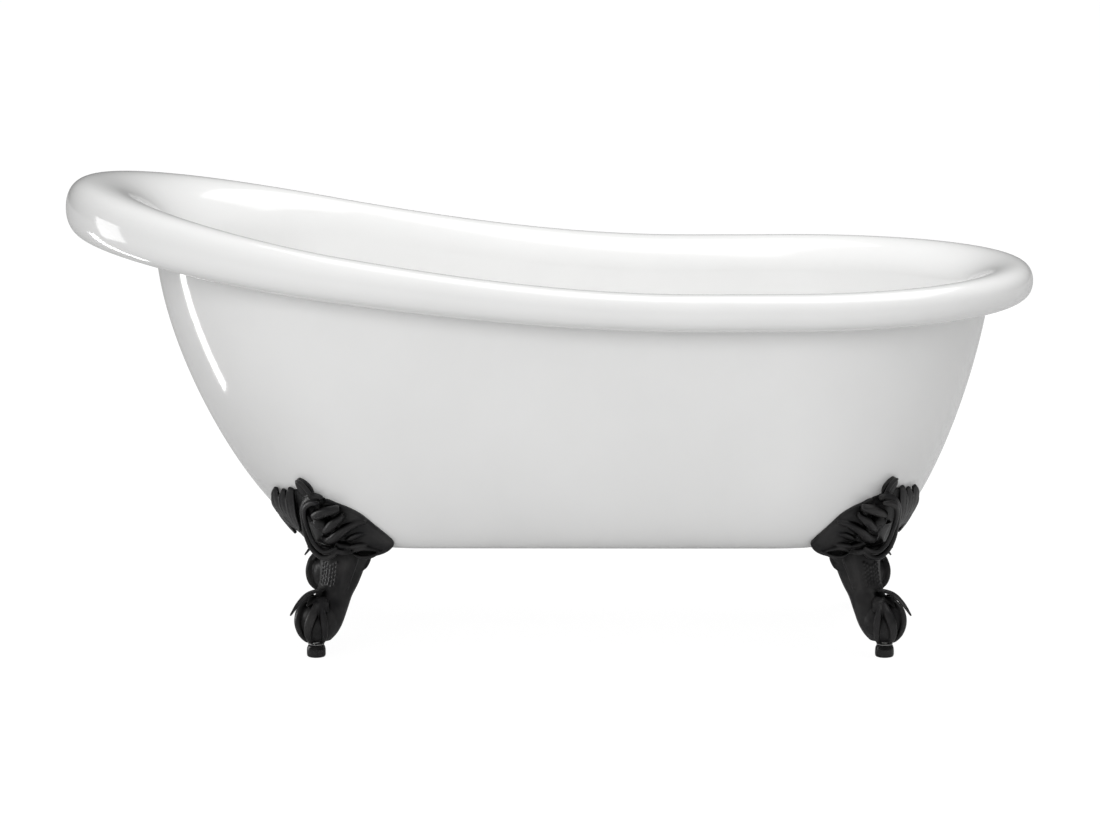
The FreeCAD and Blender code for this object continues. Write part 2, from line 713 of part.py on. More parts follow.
def levellers():
    """A pad on the floor under each foot, and the stud that turns in it and in the foot."""
    pad_radius = "Sizes.pad_diameter / 2"
    spigot = "(Sizes.collar_diameter / 2 - 6)"
    socket = f"({spigot} + Sizes.stud_clearance)"
    collar_low = "Sizes.pad_height + Sizes.stud_clearance"
    collar_top = "Sizes.pad_height + Sizes.collar_height"
    stud = "(Sizes.stud_diameter / 2 - Sizes.stud_clearance)"
    stud_top = f"{collar_top} + Sizes.stud_length"
    for name, end_sign, side_sign in FEET:
        at = foot_axis(end_sign, side_sign) + ("0",)
        turned(f"leveller_pad_{name}", [
            ("0", "0"), (f"{pad_radius} - {EDGE}", "0"), (pad_radius, f"{EDGE}"),
            (pad_radius, "Sizes.pad_height * 0.6"), (f"{pad_radius} - {EDGE}", "Sizes.pad_height"),
            (socket, "Sizes.pad_height"), (socket, f"{SOCKET_FLOOR}"), ("0", f"{SOCKET_FLOOR}")], at)
        turned(f"leveller_stud_{name}", [
            ("0", f"{SOCKET_FLOOR} + Sizes.stud_clearance"),
            (spigot, f"{SOCKET_FLOOR} + Sizes.stud_clearance"), (spigot, collar_low),
            ("Sizes.collar_diameter / 2", collar_low), ("Sizes.collar_diameter / 2", collar_top),
            (stud, collar_top), (stud, f"{stud_top} - 1"), (f"{stud} - 1", stud_top), ("0", stud_top)], at)


levellers()


# ---------------------------------------------------------------- foot fasteners

BOLT_RADIUS = "Sizes.bolt_diameter / 2"
HEX = "cos(30 deg)"


def bolt(name, x, y):
    """Hex bolt from under the foot's plate up into its tee nut."""
    head_low = f"{PLATE_LOW} - Sizes.washer_thick - Sizes.bolt_head"
    head = primitive("Prism", f"{name}_head", (x, y, head_low),
                     Circumradius=f"Sizes.bolt_flats / 2 / {HEX}", Height="Sizes.bolt_head")
    shank = primitive("Cylinder", f"{name}_shank", (x, y, head_low), Radius=BOLT_RADIUS,
                      Height=f"{BOARD_TOP} - Sizes.tee_thick - ({head_low})")
    return joined(name, head, shank)


def washer(name, x, y):
    low = f"{PLATE_LOW} - Sizes.washer_thick"
    blank = primitive("Cylinder", f"{name}_blank", (x, y, low), Radius="Sizes.washer_diameter / 2",
                      Height="Sizes.washer_thick")
    hole = primitive("Cylinder", f"{name}_hole", (x, y, low),
                     Radius=f"{BOLT_RADIUS} + Sizes.bolt_clearance / 2", Height="Sizes.washer_thick")
    return cut(name, blank, hole)


def tee_nut(name, x, y):
    """Flanged nut let into the top of the board, with its barrel down the bolt hole."""
    top = BOARD_TOP
    barrel = primitive("Cylinder", f"{name}_barrel", (x, y, f"{top} - Sizes.tee_barrel"),
                       Radius=f"{BOLT_RADIUS} + Sizes.bolt_clearance + {TEE_WALL}", Height="Sizes.tee_barrel")
    flange = primitive("Cylinder", f"{name}_flange", (x, y, f"{top} - Sizes.tee_thick"),
                       Radius="Sizes.tee_flange / 2", Height="Sizes.tee_thick")
    bore = primitive("Cylinder", f"{name}_bore", (x, y, f"{top} - Sizes.tee_barrel"),
                     Radius=f"{BOLT_RADIUS} + Sizes.stud_clearance", Height="Sizes.tee_barrel")
    return cut(name, joined(f"{name}_solid", barrel, flange), bore)


def fasteners():
    """Each foot's two bolts, washers and tee nuts, grouped by kind."""
    for name, end_sign, side_sign in FEET:
        for kind, make in (("foot_bolts", bolt), ("foot_washers", washer), ("tee_nuts", tee_nut)):
            pair = [make(f"{kind}_{name}_{i}", x, y)
                    for i, (x, y) in enumerate(bolt_places(end_sign, side_sign))]
            group = doc.addObject("Part::Compound", f"{kind}_{name}")
            group.Links = pair
            keep(group, f"{kind}_{name}")


fasteners()


# ---------------------------------------------------------------- waste and plug

AT_WASTE = ("Sizes.waste_x", "0", "0")
THREAD = "Sizes.waste_thread / 2"
NUT_LOW = f"({BASE} - Sizes.back_seal - Sizes.back_nut)"
FLANGE_LOW = f"({FLOOR} + Sizes.waste_seal)"
SEAT = f"({FLANGE_LOW} + 1)"
CAP = "Sizes.plug_diameter / 2"
CAP_LOW = f"({SEAT} + 2)"
STEM = "Sizes.stem_diameter / 2"


def waste():
    """Flanged waste with its seals and back nut, clamping both floors of the bath."""
    tail_low = f"{NUT_LOW} - Sizes.free_thread"
    bore = "Sizes.waste_bore / 2"
    flange = "Sizes.waste_flange / 2"
    turned("waste_tail", [
        (bore, tail_low), (THREAD, tail_low), (THREAD, f"{NUT_LOW} - 2"), (f"{THREAD} - 0.8", f"{NUT_LOW} - 2"),
        (f"{THREAD} - 0.8", NUT_LOW), (THREAD, NUT_LOW), (THREAD, FLANGE_LOW), (flange, FLANGE_LOW),
        (flange, f"{FLANGE_LOW} + 1"), (f"{flange} - 3", f"{FLANGE_LOW} + 3.5"),
        (f"{CAP} + 1", f"{FLANGE_LOW} + 3.5"), (f"{CAP} + 1", SEAT), (bore, SEAT)], AT_WASTE)
    seal = f"{THREAD} + 0.3"
    ring("waste_top_seal", seal, f"{flange} - 2", FLOOR, FLANGE_LOW, AT_WASTE)
    ring("waste_bottom_seal", seal, f"{flange} - 2", f"{BASE} - Sizes.back_seal", BASE, AT_WASTE)
    nut = primitive("Prism", "back_nut_blank", ("Sizes.waste_x", "0", NUT_LOW),
                    Circumradius=f"({THREAD} + 5) / {HEX}", Height="Sizes.back_nut")
    nut_bore = primitive("Cylinder", "back_nut_bore", ("Sizes.waste_x", "0", NUT_LOW),
                         Radius=f"{THREAD} + Sizes.stud_clearance", Height="Sizes.back_nut")
    keep(cut("waste_back_nut", nut, nut_bore), "waste_back_nut")


def banjo():
    """Collar round the tail, between the floors, that takes the overflow pipe."""
    low = f"({BOARD_LOW} + Sizes.banjo_seal)"
    top = f"({BOARD_TOP} - Sizes.banjo_seal)"
    middle = f"({low} + {top}) / 2"
    radius = "Sizes.banjo_diameter / 2"
    blank = primitive("Cylinder", "banjo_blank", ("Sizes.waste_x", "0", low), Radius=radius,
                      Height=f"{top} - {low}")
    bore = primitive("Cylinder", "banjo_bore", ("Sizes.waste_x", "0", low), Radius=f"{THREAD} + 0.1",
                     Height=f"{top} - {low}")
    channel = primitive("Cylinder", "banjo_channel", ("Sizes.waste_x", "0", f"{low} + 2.5"),
                        Radius=f"{THREAD} + 4", Height=f"{top} - {low} - 5")
    inlet = primitive("Cylinder", "banjo_inlet", (f"Sizes.waste_x + {THREAD} + 2", "0", middle),
                      Radius="Sizes.pipe_diameter / 2 - Sizes.pipe_wall", Height=f"{radius} - {THREAD}")
    inlet.Placement = Placement(inlet.Placement.Base, Rotation(Vector(0, 1, 0), 90))
    place(inlet, f"Sizes.waste_x + {THREAD} + 2", "0", middle)
    keep(cut("waste_banjo", blank, joined("banjo_hollow", bore, channel, inlet)), "waste_banjo")
    gaskets = []
    for i, gasket_low in enumerate((BOARD_LOW, top)):
        outer = primitive("Cylinder", f"banjo_gasket_{i}", ("Sizes.waste_x", "0", gasket_low),
                          Radius=radius, Height="Sizes.banjo_seal")
        inner = primitive("Cylinder", f"banjo_gasket_bore_{i}", ("Sizes.waste_x", "0", gasket_low),
                          Radius=f"{THREAD} + 0.3", Height="Sizes.banjo_seal")
        gaskets.append(cut(f"banjo_gasket_ring_{i}", outer, inner))
    group = doc.addObject("Part::Compound", "banjo_seals")
    group.Links = gaskets
    keep(group, "banjo_seals")


def plug():
    """Push-to-open plug: cap, seal and stem move; the cartridge that guides them is fixed."""
    turned("plug_cap", [
        ("0", CAP_LOW), (CAP, CAP_LOW), (CAP, f"{CAP_LOW} + 1.5"), (f"{CAP} - 4", f"{CAP_LOW} + 3"),
        (f"{CAP} / 2", f"{CAP_LOW} + Sizes.plug_dome - 0.3"), ("0", f"{CAP_LOW} + Sizes.plug_dome")], AT_WASTE)
    ring("plug_seal", f"{STEM} + 8", f"{CAP} - 1.5", SEAT, CAP_LOW, AT_WASTE)
    stem_low = f"{CAP_LOW} - 46"
    ring("plug_stem", "0", STEM, stem_low, CAP_LOW, AT_WASTE)
    hub = f"{STEM} + Sizes.stud_clearance"
    hub_low = f"{FLOOR} - 32"
    hub_top = f"{FLOOR} - 14"
    cartridge = ring("plug_cartridge", hub, f"{STEM} + 3", hub_low, hub_top, AT_WASTE)
    spoke = bound_outline(cartridge, [
        (f"{STEM} + 2", hub_low), (f"Sizes.waste_bore / 2 - {SLIVER}", f"{hub_low} + 6"),
        (f"Sizes.waste_bore / 2 - {SLIVER}", f"{hub_low} + 14"), (f"{STEM} + 2", f"{hub_low} + 16")])
    arm = cartridge.newObject("PartDesign::Pad", "Spoke")
    arm.Profile = spoke
    arm.Length = 3
    arm.Midplane = True
    doc.recompute()
    arms = cartridge.newObject("PartDesign::PolarPattern", "Spokes")
    arms.Originals = [arm]
    arms.Axis = (origin_feature(cartridge, "Z_Axis"), [""])
    arms.Angle = 360
    arms.Occurrences = 3
    cartridge.Tip = arms


waste()
banjo()
plug()


# ---------------------------------------------------------------- overflow

COVER_STAND = 2.4           # cover off the wall at its centre, because the wall curves round it
COVER_DEPTH = 5
ELBOW_FLANGE = 3
ELBOW_WALL = 2
SEAL_THICK = 2
SCREW_RADIUS = 3
NECK_WALL = 2.5
OUTLET_DROP = 24            # elbow's outlet below its centre
SOCKET_DEPTH = 10           # pipe inside the outlet
STRAIGHT_ENTRY = 36         # pipe's last straight run
ROUTE_SHARES = (0.02, 0.30, 0.56)


def at_wall(label, shape):
    """Keeps a solid that is built along +Z, pointed out of the wall into the basin."""
    piece = freeform(label, shape)
    piece.Placement = Placement(OVERFLOW_AT, Rotation(Vector(0, -1, 0), OVERFLOW_UP, OVERFLOW_IN, "ZXY"))


def turned_shape(corners):
    """Solid of revolution about Z through (radius, height) corners."""
    points = [Vector(radius, 0, height) for radius, height in corners]
    return Part.Face(Part.makePolygon(points + points[:1])).revolve(Vector(), UP, 360)


def overflow_cover():
    """Domed cover with four slots, held by one screw."""
    radius = size("overflow_cover") / 2
    low = COVER_STAND
    dish = turned_shape([(0, low), (radius, low), (radius, low + 2), (radius - 3, low + COVER_DEPTH),
                         (0, low + COVER_DEPTH + 2)])
    for row in (-2, -1, 1, 2):
        slot = Part.makeBox(radius, 4, COVER_DEPTH + 4, Vector(-radius / 2, row * radius / 4 - 2, low - 1))
        dish = dish.cut(slot)
    return dish.cut(Part.makeCylinder(SCREW_RADIUS + SLIVER, COVER_DEPTH + 4, Vector(0, 0, low - 1)))


def overflow_elbow(flange_low, pipe_depth):
    """Flanged neck through the liner, hub behind it and an outlet socket pointing down."""
    flange = size("overflow_cover") / 2 - 6
    neck = size("overflow_bore") / 2 - FREE_FIT
    outlet = size("pipe_diameter") / 2 + ELBOW_WALL
    hub_low = pipe_depth - size("pipe_diameter") / 2 - ELBOW_WALL
    body = turned_shape([(0, hub_low), (outlet + ELBOW_WALL, hub_low), (outlet + ELBOW_WALL, flange_low),
                         (flange, flange_low), (flange, flange_low + ELBOW_FLANGE),
                         (neck, flange_low + ELBOW_FLANGE), (neck, -FREE_FIT), (0, -FREE_FIT)])
    centre = Vector(0, 0, pipe_depth)
    down = Vector(0, -1, 0)
    body = body.fuse(Part.makeCylinder(outlet, OUTLET_DROP, centre, down))
    throat = Part.makeCylinder(neck - NECK_WALL, -hub_low - ELBOW_WALL, Vector(0, 0, hub_low + ELBOW_WALL))
    way_down = Part.makeCylinder(outlet - ELBOW_WALL - size("pipe_wall"), OUTLET_DROP, centre, down)
    socket_start = centre + down * (OUTLET_DROP - SOCKET_DEPTH)
    socket = Part.makeCylinder(size("pipe_diameter") / 2 + SLIVER, SOCKET_DEPTH, socket_start, down)
    body = body.cut(throat.multiFuse([way_down, socket]))
    bar = Part.makeBox(2 * neck - 2, 3 * SCREW_RADIUS, ELBOW_FLANGE,
                       Vector(1 - neck, -1.5 * SCREW_RADIUS, flange_low))
    return body.fuse(bar).cut(Part.makeCylinder(SCREW_RADIUS + SLIVER, 20, Vector(0, 0, flange_low - 1)))


def pipe_route(outlet):
    """Middle of the pipe: along the floor from the waste, then up between the walls to the outlet."""
    floor_in, top_in = basin_insets((0.0, 0.0))
    skin_in = size("skin_wall")
    level = size("base_height") + skin_in + size("board_thick") / 2
    between_walls = Part.BezierCurve()
    between_walls.setPoles(wall_profile((0.0, 0.0), (floor_in + skin_in) / 2,
                                        (top_in - size("liner_wall") + skin_in) / 2, level)[0])
    start = Vector(size("waste_x") + size("banjo_diameter") / 2, 0, level)
    entry = outlet - OVERFLOW_UP * STRAIGHT_ENTRY
    return [start] + [between_walls.value(share) for share in ROUTE_SHARES] + [entry, outlet]


def rounded_path(points):
    """Straight runs joined by tangent arcs, each as large as its two runs allow."""
    edges = []
    last = points[0]
    for before, corner, after in zip(points, points[1:], points[2:]):
        back = (before - corner).normalize()
        onward = (after - corner).normalize()
        half_turn = (math.pi - back.getAngle(onward)) / 2
        setback = 0.45 * min((before - corner).Length, (after - corner).Length)
        radius = setback / math.tan(half_turn)
        middle_way = (back + onward).normalize()
        centre = corner + middle_way * (radius / math.cos(half_turn))
        start = corner + back * setback
        finish = corner + onward * setback
        edges.append(Part.LineSegment(last, start).toShape())
        edges.append(Part.Arc(start, centre - middle_way * radius, finish).toShape())
        last = finish
    edges.append(Part.LineSegment(last, points[-1]).toShape())
    return Part.Wire(edges)


def tube_along(path, radius):
    first = path.Edges[0]
    way = first.tangentAt(first.FirstParameter)
    circle = Part.Wire(Part.makeCircle(radius, first.valueAt(first.FirstParameter), way))
    return path.makePipeShell([circle], True, False)


def overflow():
    """Cover in the basin, elbow and seal behind its wall, and the pipe down to the waste."""
    bore = size("overflow_bore") / 2
    seal_radius = size("overflow_cover") / 2 - 6
    back = -size("liner_wall") - SLIVER
    flange_low = back - SEAL_THICK - ELBOW_FLANGE
    pipe_depth = flange_low - size("pipe_diameter") / 2
    head = COVER_STAND + COVER_DEPTH + 2
    at_wall("overflow_cover", overflow_cover())
    screw = Part.makeCylinder(SCREW_RADIUS, head - flange_low - 1, Vector(0, 0, flange_low + 1))
    at_wall("overflow_screw", screw.fuse(turned_shape([(0, head), (6, head), (5, head + 2), (0, head + 2.5)])))
    at_wall("overflow_seal", turned_shape([(bore, back - SEAL_THICK), (seal_radius, back - SEAL_THICK),
                                           (seal_radius, back), (bore, back)]))
    at_wall("overflow_elbow", overflow_elbow(flange_low, pipe_depth))
    outlet = OVERFLOW_AT + OVERFLOW_IN * pipe_depth - OVERFLOW_UP * (OUTLET_DROP - SOCKET_DEPTH)
    path = rounded_path(pipe_route(outlet))
    outside = size("pipe_diameter") / 2
    pipe = tube_along(path, outside)
    expected = math.pi * outside ** 2 * path.Length
    print(f"overflow pipe: {path.Length:.1f} mm, volume {pipe.Volume / expected:.4f} of section by length")
    freeform("overflow_pipe", pipe.cut(tube_along(path, outside - size("pipe_wall"))))


overflow()


# ---------------------------------------------------------------- checks and files

def check_objects():
    """Stops when an object of the document has failed or a sub-part isn't a sound solid."""
    doc.recompute()
    for thing in doc.Objects:
        if "Invalid" in thing.State or "Error" in thing.State:
            raise RuntimeError(f"{thing.Label} has failed: {thing.State}")
    for thing in SUB_PARTS:
        shape = thing.Shape
        if shape.isNull() or not shape.isValid() or not shape.Solids or shape.Volume <= 0:
            raise RuntimeError(f"{thing.Label} isn't a sound solid")


def write_files():
    os.makedirs("parts", exist_ok=True)
    for thing in SUB_PARTS:
        thing.Shape.exportStep(os.path.join("parts", f"{thing.Label}.step"))
    print(f"{len(SUB_PARTS)} sub-parts, {sum(len(thing.Shape.Solids) for thing in SUB_PARTS)} solids")


check_objects()
write_files()
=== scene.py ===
"""Freestanding slipper bath in gloss white acrylic on four black cast claw feet.

The frame gives the construction. This file adds the finish: smooth mouldings in place of the faceted
ones, carved feet in place of the plain castings, turned levellers, materials, floor, light and camera.
Lengths are in millimetres until mesh_object() turns them into metres.
"""
import json
import math

import bmesh
import bpy
from mathutils import Matrix, Vector
from mathutils.bvhtree import BVHTree


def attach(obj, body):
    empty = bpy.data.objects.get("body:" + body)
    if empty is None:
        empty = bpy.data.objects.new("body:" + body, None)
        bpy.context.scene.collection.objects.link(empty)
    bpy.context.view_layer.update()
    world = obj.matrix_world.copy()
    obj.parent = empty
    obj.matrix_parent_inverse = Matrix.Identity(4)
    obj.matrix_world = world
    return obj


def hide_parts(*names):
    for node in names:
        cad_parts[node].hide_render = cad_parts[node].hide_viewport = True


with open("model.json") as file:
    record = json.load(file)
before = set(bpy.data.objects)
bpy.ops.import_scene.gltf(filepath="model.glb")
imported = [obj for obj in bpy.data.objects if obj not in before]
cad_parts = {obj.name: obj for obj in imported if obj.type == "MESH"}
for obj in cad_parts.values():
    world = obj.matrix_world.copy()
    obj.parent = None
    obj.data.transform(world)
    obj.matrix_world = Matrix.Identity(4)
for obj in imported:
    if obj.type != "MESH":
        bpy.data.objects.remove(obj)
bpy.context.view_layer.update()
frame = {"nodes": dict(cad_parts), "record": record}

MM = 0.001
UP = Vector((0, 0, 1))


# ---------------------------------------------------------------- sizes shared with the construction

HALF_LENGTH = 775.0
HALF_WIDTH = 365.0
RIM_HEAD_RUN = 435.0
RIM_TAP_RUN = 392.0
RIM_LOW = 601.0
RIM_HEAD = 741.0
RIM_TAP_LIFT = 6.0
RISE_START = 227.0
RISE_WAVE = 1489.0
ROLL_WIDTH = (62.0, 81.0)
ROLL_HEIGHT = (58.0, 91.0)
BASE_HEIGHT = 175.0
BASE_REACH = {"head": 384.0, "tap": 540.0}
BASE_HALF_WIDTH = 200.0
BASE_END_RUN = 186.0
OVERHANG = {"head": 143.0, "tap": 71.0, "side": 63.0}
SKIN_WALL = 5.0
LINER_WALL = 5.0
BOARD_THICK = 24.0
BASIN_INSET_FLOOR = 42.0
BASIN_INSET_TOP = 28.0
OVERFLOW_ROOM = 10.0
LIP_GAP = 0.4
SKIN_TUCK = 18.0
ROLL_PULL = 0.64
WALL_SHAPE = {"head": (72.0, 190.0, 3.0), "side": (62.0, 150.0, 5.0), "tap": (52.0, 167.0, 9.0)}
BASIN_FLOOR = BASE_HEIGHT + SKIN_WALL + BOARD_THICK + LINER_WALL


# ---------------------------------------------------------------- mesh helpers

SMOOTH_ANGLE = 38
LATHE_STEPS = 64


def mesh_object(name, bm, smooth_angle=SMOOTH_ANGLE):
    """Object whose mesh is bm in millimetres, smooth but for edges sharper than the angle."""
    bm.normal_update()
    limit = math.radians(smooth_angle)
    for edge in bm.edges:
        edge.smooth = len(edge.link_faces) != 2 or edge.calc_face_angle(0) < limit
    for face in bm.faces:
        face.smooth = True
    mesh = bpy.data.meshes.new(name)
    bm.to_mesh(mesh)
    bm.free()
    mesh.transform(Matrix.Scale(MM, 4))
    obj = bpy.data.objects.new(name, mesh)
    bpy.context.scene.collection.objects.link(obj)
    return obj


def bezier(points, share):
    """Point on a Bezier curve by repeated division."""
    points = list(points)
    while len(points) > 1:
        points = [a.lerp(b, share) for a, b in zip(points, points[1:])]
    return points[0]


def applied(obj):
    """Applies an object's modifiers to its mesh."""
    graph = bpy.context.evaluated_depsgraph_get()
    mesh = bpy.data.meshes.new_from_object(obj.evaluated_get(graph))
    obj.modifiers.clear()
    obj.data = mesh
    return obj


def cut_by(obj, cutter):
    """Takes cutter away from obj and deletes the cutter."""
    modifier = obj.modifiers.new("cut", "BOOLEAN")
    modifier.operation = "DIFFERENCE"
    modifier.solver = "EXACT"
    modifier.object = cutter
    applied(obj)
    bpy.data.objects.remove(cutter)
    return obj


def share_at(rise, target, halvings=40):
    """Share from 0 to 1 at which a rising function reaches the target."""
    low, high = 0.0, 1.0
    for _ in range(halvings):
        middle = (low + high) / 2
        if rise(middle) < target:
            low = middle
        else:
            high = middle
    return low


def join_rings(bm, rings):
    """Quads between each closed ring of vertices and the next."""
    for low, high in zip(rings, rings[1:]):
        for i in range(len(low)):
            k = (i + 1) % len(low)
            bm.faces.new((low[i], low[k], high[k], high[i]))


def lathe(corners, at):
    """Turned solid: (radius, height) corners from axis to axis, about a vertical axis at a point."""
    bm = bmesh.new()
    rings = []
    turns = [2 * math.pi * i / LATHE_STEPS for i in range(LATHE_STEPS)]
    for radius, height in corners:
        if radius == 0:
            rings.append([bm.verts.new(at + UP * height)])
            continue
        rings.append([bm.verts.new(at + Vector((radius * math.cos(a), radius * math.sin(a), height)))
                      for a in turns])
    for low, high in zip(rings, rings[1:]):
        for i in range(LATHE_STEPS):
            k = (i + 1) % LATHE_STEPS
            quad = [low[i % len(low)], low[k % len(low)], high[k % len(high)], high[i % len(high)]]
            bm.faces.new(list(dict.fromkeys(quad)))
    bmesh.ops.recalc_face_normals(bm, faces=bm.faces)
    return bm


# ---------------------------------------------------------------- the mouldings

QUARTER_STEPS = 56
SIDE_STEPS = 36
# Steps along wall, flare, the roll's two quarters and underside, on the shown and the hidden face.
LINER_SHOWN, LINER_HIDDEN = (44, 26, 16, 16, 8), (16, 8, 6, 6, 3)
SKIN_SHOWN, SKIN_HIDDEN, TUCK_STEPS = 48, 12, 2
RISE_BLEND = (0.9, 0.1)
FLOOR_EDGE = 3.0

WASTE_AT = Vector((385, 0, 0))
WASTE_HOLE = 24.4
OVERFLOW_HEIGHT = 480.0
OVERFLOW_HOLE = 15.5
# How far the cutters reach below and above each floor, and to both sides of the wall.
LINER_CUT, SKIN_CUT, WALL_CUT = (12, 4), (4, 9), 14
HOLE_STEPS = 48
TANGENT_STEP = 0.001


def plan_stations():
    """Pairs of end angle and place along the side, once round the bath from the tap end."""
    quarter = [math.pi / 2 * i / QUARTER_STEPS for i in range(QUARTER_STEPS)]
    side = [i / SIDE_STEPS for i in range(SIDE_STEPS)]
    stations = [(a, 0.0) for a in quarter]
    stations += [(math.pi / 2, s) for s in side]
    stations += [(a + math.pi / 2, 1.0) for a in quarter]
    stations += [(a + math.pi, 1.0) for a in quarter]
    stations += [(3 * math.pi / 2, 1.0 - s) for s in side]
    stations += [(a + 3 * math.pi / 2, 0.0) for a in quarter]
    return stations


STATIONS = plan_stations()


def plan_point(station, head, tap, half_width, head_run, tap_run):
    """Point of an oval with elliptical ends and straight sides."""
    angle, slide = station
    run = tap_run if math.cos(angle) > 0 else head_run
    tap_centre = tap - tap_run
    centre = tap_centre + slide * (head_run - head - tap_centre)
    return Vector((centre + run * math.cos(angle), half_width * math.sin(angle), 0))


def rim_point(station):
    return plan_point(station, HALF_LENGTH, HALF_LENGTH, HALF_WIDTH, RIM_HEAD_RUN, RIM_TAP_RUN)


def rim_outward(station):
    angle, _ = station
    run = RIM_TAP_RUN if math.cos(angle) > 0 else RIM_HEAD_RUN
    return Vector((math.cos(angle) / run, math.sin(angle) / HALF_WIDTH, 0)).normalized()


def skin_top_point(station):
    return plan_point(station, HALF_LENGTH - OVERHANG["head"], HALF_LENGTH - OVERHANG["tap"],
                      HALF_WIDTH - OVERHANG["side"], RIM_HEAD_RUN - OVERHANG["head"],
                      RIM_TAP_RUN - OVERHANG["tap"])


def base_point(station):
    return plan_point(station, BASE_REACH["head"], BASE_REACH["tap"], BASE_HALF_WIDTH,
                      BASE_END_RUN, BASE_END_RUN)


def climb(x):
    """Share of the crest's climb at x: 0 along the low side, 1 at the head end."""
    def wave(at):
        turn = min(max((RISE_START - at) / RISE_WAVE, 0.0), 1.0)
        return RISE_BLEND[0] * turn ** 2 * (3 - 2 * turn) + RISE_BLEND[1] * turn ** 2
    return wave(x) / wave(-HALF_LENGTH)


def between(pair, x):
    return pair[0] + (pair[1] - pair[0]) * climb(x)


def crest_height(x):
    tap_share = max((x - RISE_START) / (HALF_LENGTH - RISE_START), 0.0)
    return between((RIM_LOW, RIM_HEAD), x) + RIM_TAP_LIFT * tap_share ** 2


def wall_profile(station, inset_floor, inset_top, floor_height):
    """Bezier points of a wall inside the skin's outer face by the insets, and its direction at the top."""
    facing = rim_outward(station).x
    share = {"head": min(facing, 0) ** 2, "tap": max(facing, 0) ** 2}
    share["side"] = 1 - share["head"] - share["tap"]
    floor_pull, wall_pull, lean = [sum(share[k] * WALL_SHAPE[k][i] for k in share) for i in range(3)]
    foot = base_point(station) + UP * BASE_HEIGHT
    head = skin_top_point(station)
    head.z = crest_height(head.x) - between(ROLL_HEIGHT, head.x)
    out = Vector((head.x - foot.x, head.y - foot.y, 0)).normalized()
    lean = math.radians(lean)
    rise = UP * math.cos(lean) + out * math.sin(lean)
    side = out * math.cos(lean) - UP * math.sin(lean)
    shrink = 1 - (inset_floor + inset_top) / 2 / (head - foot).length
    start = foot - out * inset_floor
    start.z = floor_height
    finish = head - side * inset_top
    return [start, start + out * floor_pull * shrink, finish - rise * wall_pull * shrink, finish], rise


def skin_profile(station, offset=0.0):
    return wall_profile(station, 0.0, -offset, BASE_HEIGHT - offset)


def basin_insets(station):
    extra = OVERFLOW_ROOM * max(rim_outward(station).x, 0) ** 2
    return BASIN_INSET_FLOOR + extra, BASIN_INSET_TOP + extra


def roll_quarter(start, corner, finish):
    return [start, start.lerp(corner, ROLL_PULL), finish.lerp(corner, ROLL_PULL), finish]


def liner_section(station, inset):
    """Bezier pieces of the liner's section: wall, flare, two quarters of the roll, underside."""
    floor_in, top_in = basin_insets(station)
    wall, rise = wall_profile(station, floor_in, top_in - inset, BASIN_FLOOR - inset)
    edge = rim_point(station)
    out = rim_outward(station)
    width = between(ROLL_WIDTH, edge.x)
    height = between(ROLL_HEIGHT, edge.x)
    middle = edge - out * (width / 2) + UP * (crest_height(edge.x) - height / 2)
    crest = middle + UP * (height / 2 - inset)
    side = middle + out * (width / 2 - inset)
    under = middle - UP * (height / 2 - inset)
    pull = (crest - wall[3]).length / 3
    flare = [wall[3], wall[3] + rise * pull, crest - out * pull, crest]
    beside, up_wall = skin_profile(station, LIP_GAP)
    lip = beside[3] + up_wall * inset
    return [wall, flare, roll_quarter(crest, crest + side - middle, side),
            roll_quarter(side, under + side - middle, under),
            [under, under - out * ((under - lip).length / 3), lip.lerp(under, 1 / 3), lip]]


def section_points(pieces, steps):
    """Points along a run of Bezier pieces, steps[i] of them on each, with the last end."""
    points = []
    for piece, count in zip(pieces, steps):
        points += [bezier(piece, i / count) for i in range(count)]
    return points + [pieces[-1][-1]]


def shell_between(name, show, hide):
    """Closed moulding between two lists of sections, one per station. Its two flat floors get a narrow
    edge of their own, so that the walls' rounding doesn't shade them."""
    sections = [a + list(reversed(b)) for a, b in zip(show, hide)]
    rings = [list(ring) for ring in zip(*sections)]
    bm = bmesh.new()
    verts = [[bm.verts.new(p) for p in ring] for ring in rings]
    join_rings(bm, verts)
    floors = [bm.faces.new(verts[0]), bm.faces.new(list(reversed(verts[-1])))]
    bmesh.ops.recalc_face_normals(bm, faces=bm.faces)
    bmesh.ops.inset_individual(bm, faces=floors, thickness=FLOOR_EDGE, use_even_offset=True)
    return mesh_object(name, bm)


def holes_crisp(obj):
    """Marks the holes' edges sharp, so that the floors beside them are shaded flat."""
    obj.data.set_sharp_from_angle(angle=math.radians(SMOOTH_ANGLE))
    return obj


def round_cutter(name, radius, start, finish):
    """Closed cylinder between two points, for cutting a hole."""
    axis = finish - start
    bm = bmesh.new()
    bmesh.ops.create_cone(bm, cap_ends=True, segments=HOLE_STEPS, radius1=radius, radius2=radius,
                          depth=axis.length)
    turn = axis.to_track_quat("Z", "Y").to_matrix().to_4x4()
    bm.transform(Matrix.Translation((start + finish) / 2) @ turn)
    return mesh_object(name, bm)


def waste_cutter(floor_height, cut):
    floor = WASTE_AT + UP * floor_height
    return round_cutter("waste_cutter", WASTE_HOLE, floor - UP * cut[0], floor + UP * cut[1])


def overflow_spot():
    """Where the overflow's axis meets the basin wall, and the direction into the basin."""
    tap_end = (0.0, 0.0)
    wall = wall_profile(tap_end, *basin_insets(tap_end), BASIN_FLOOR)[0]
    share = share_at(lambda at: bezier(wall, at).z, OVERFLOW_HEIGHT)
    along = (bezier(wall, share + TANGENT_STEP) - bezier(wall, share - TANGENT_STEP)).normalized()
    return bezier(wall, share), Vector((-along.z, 0, along.x))


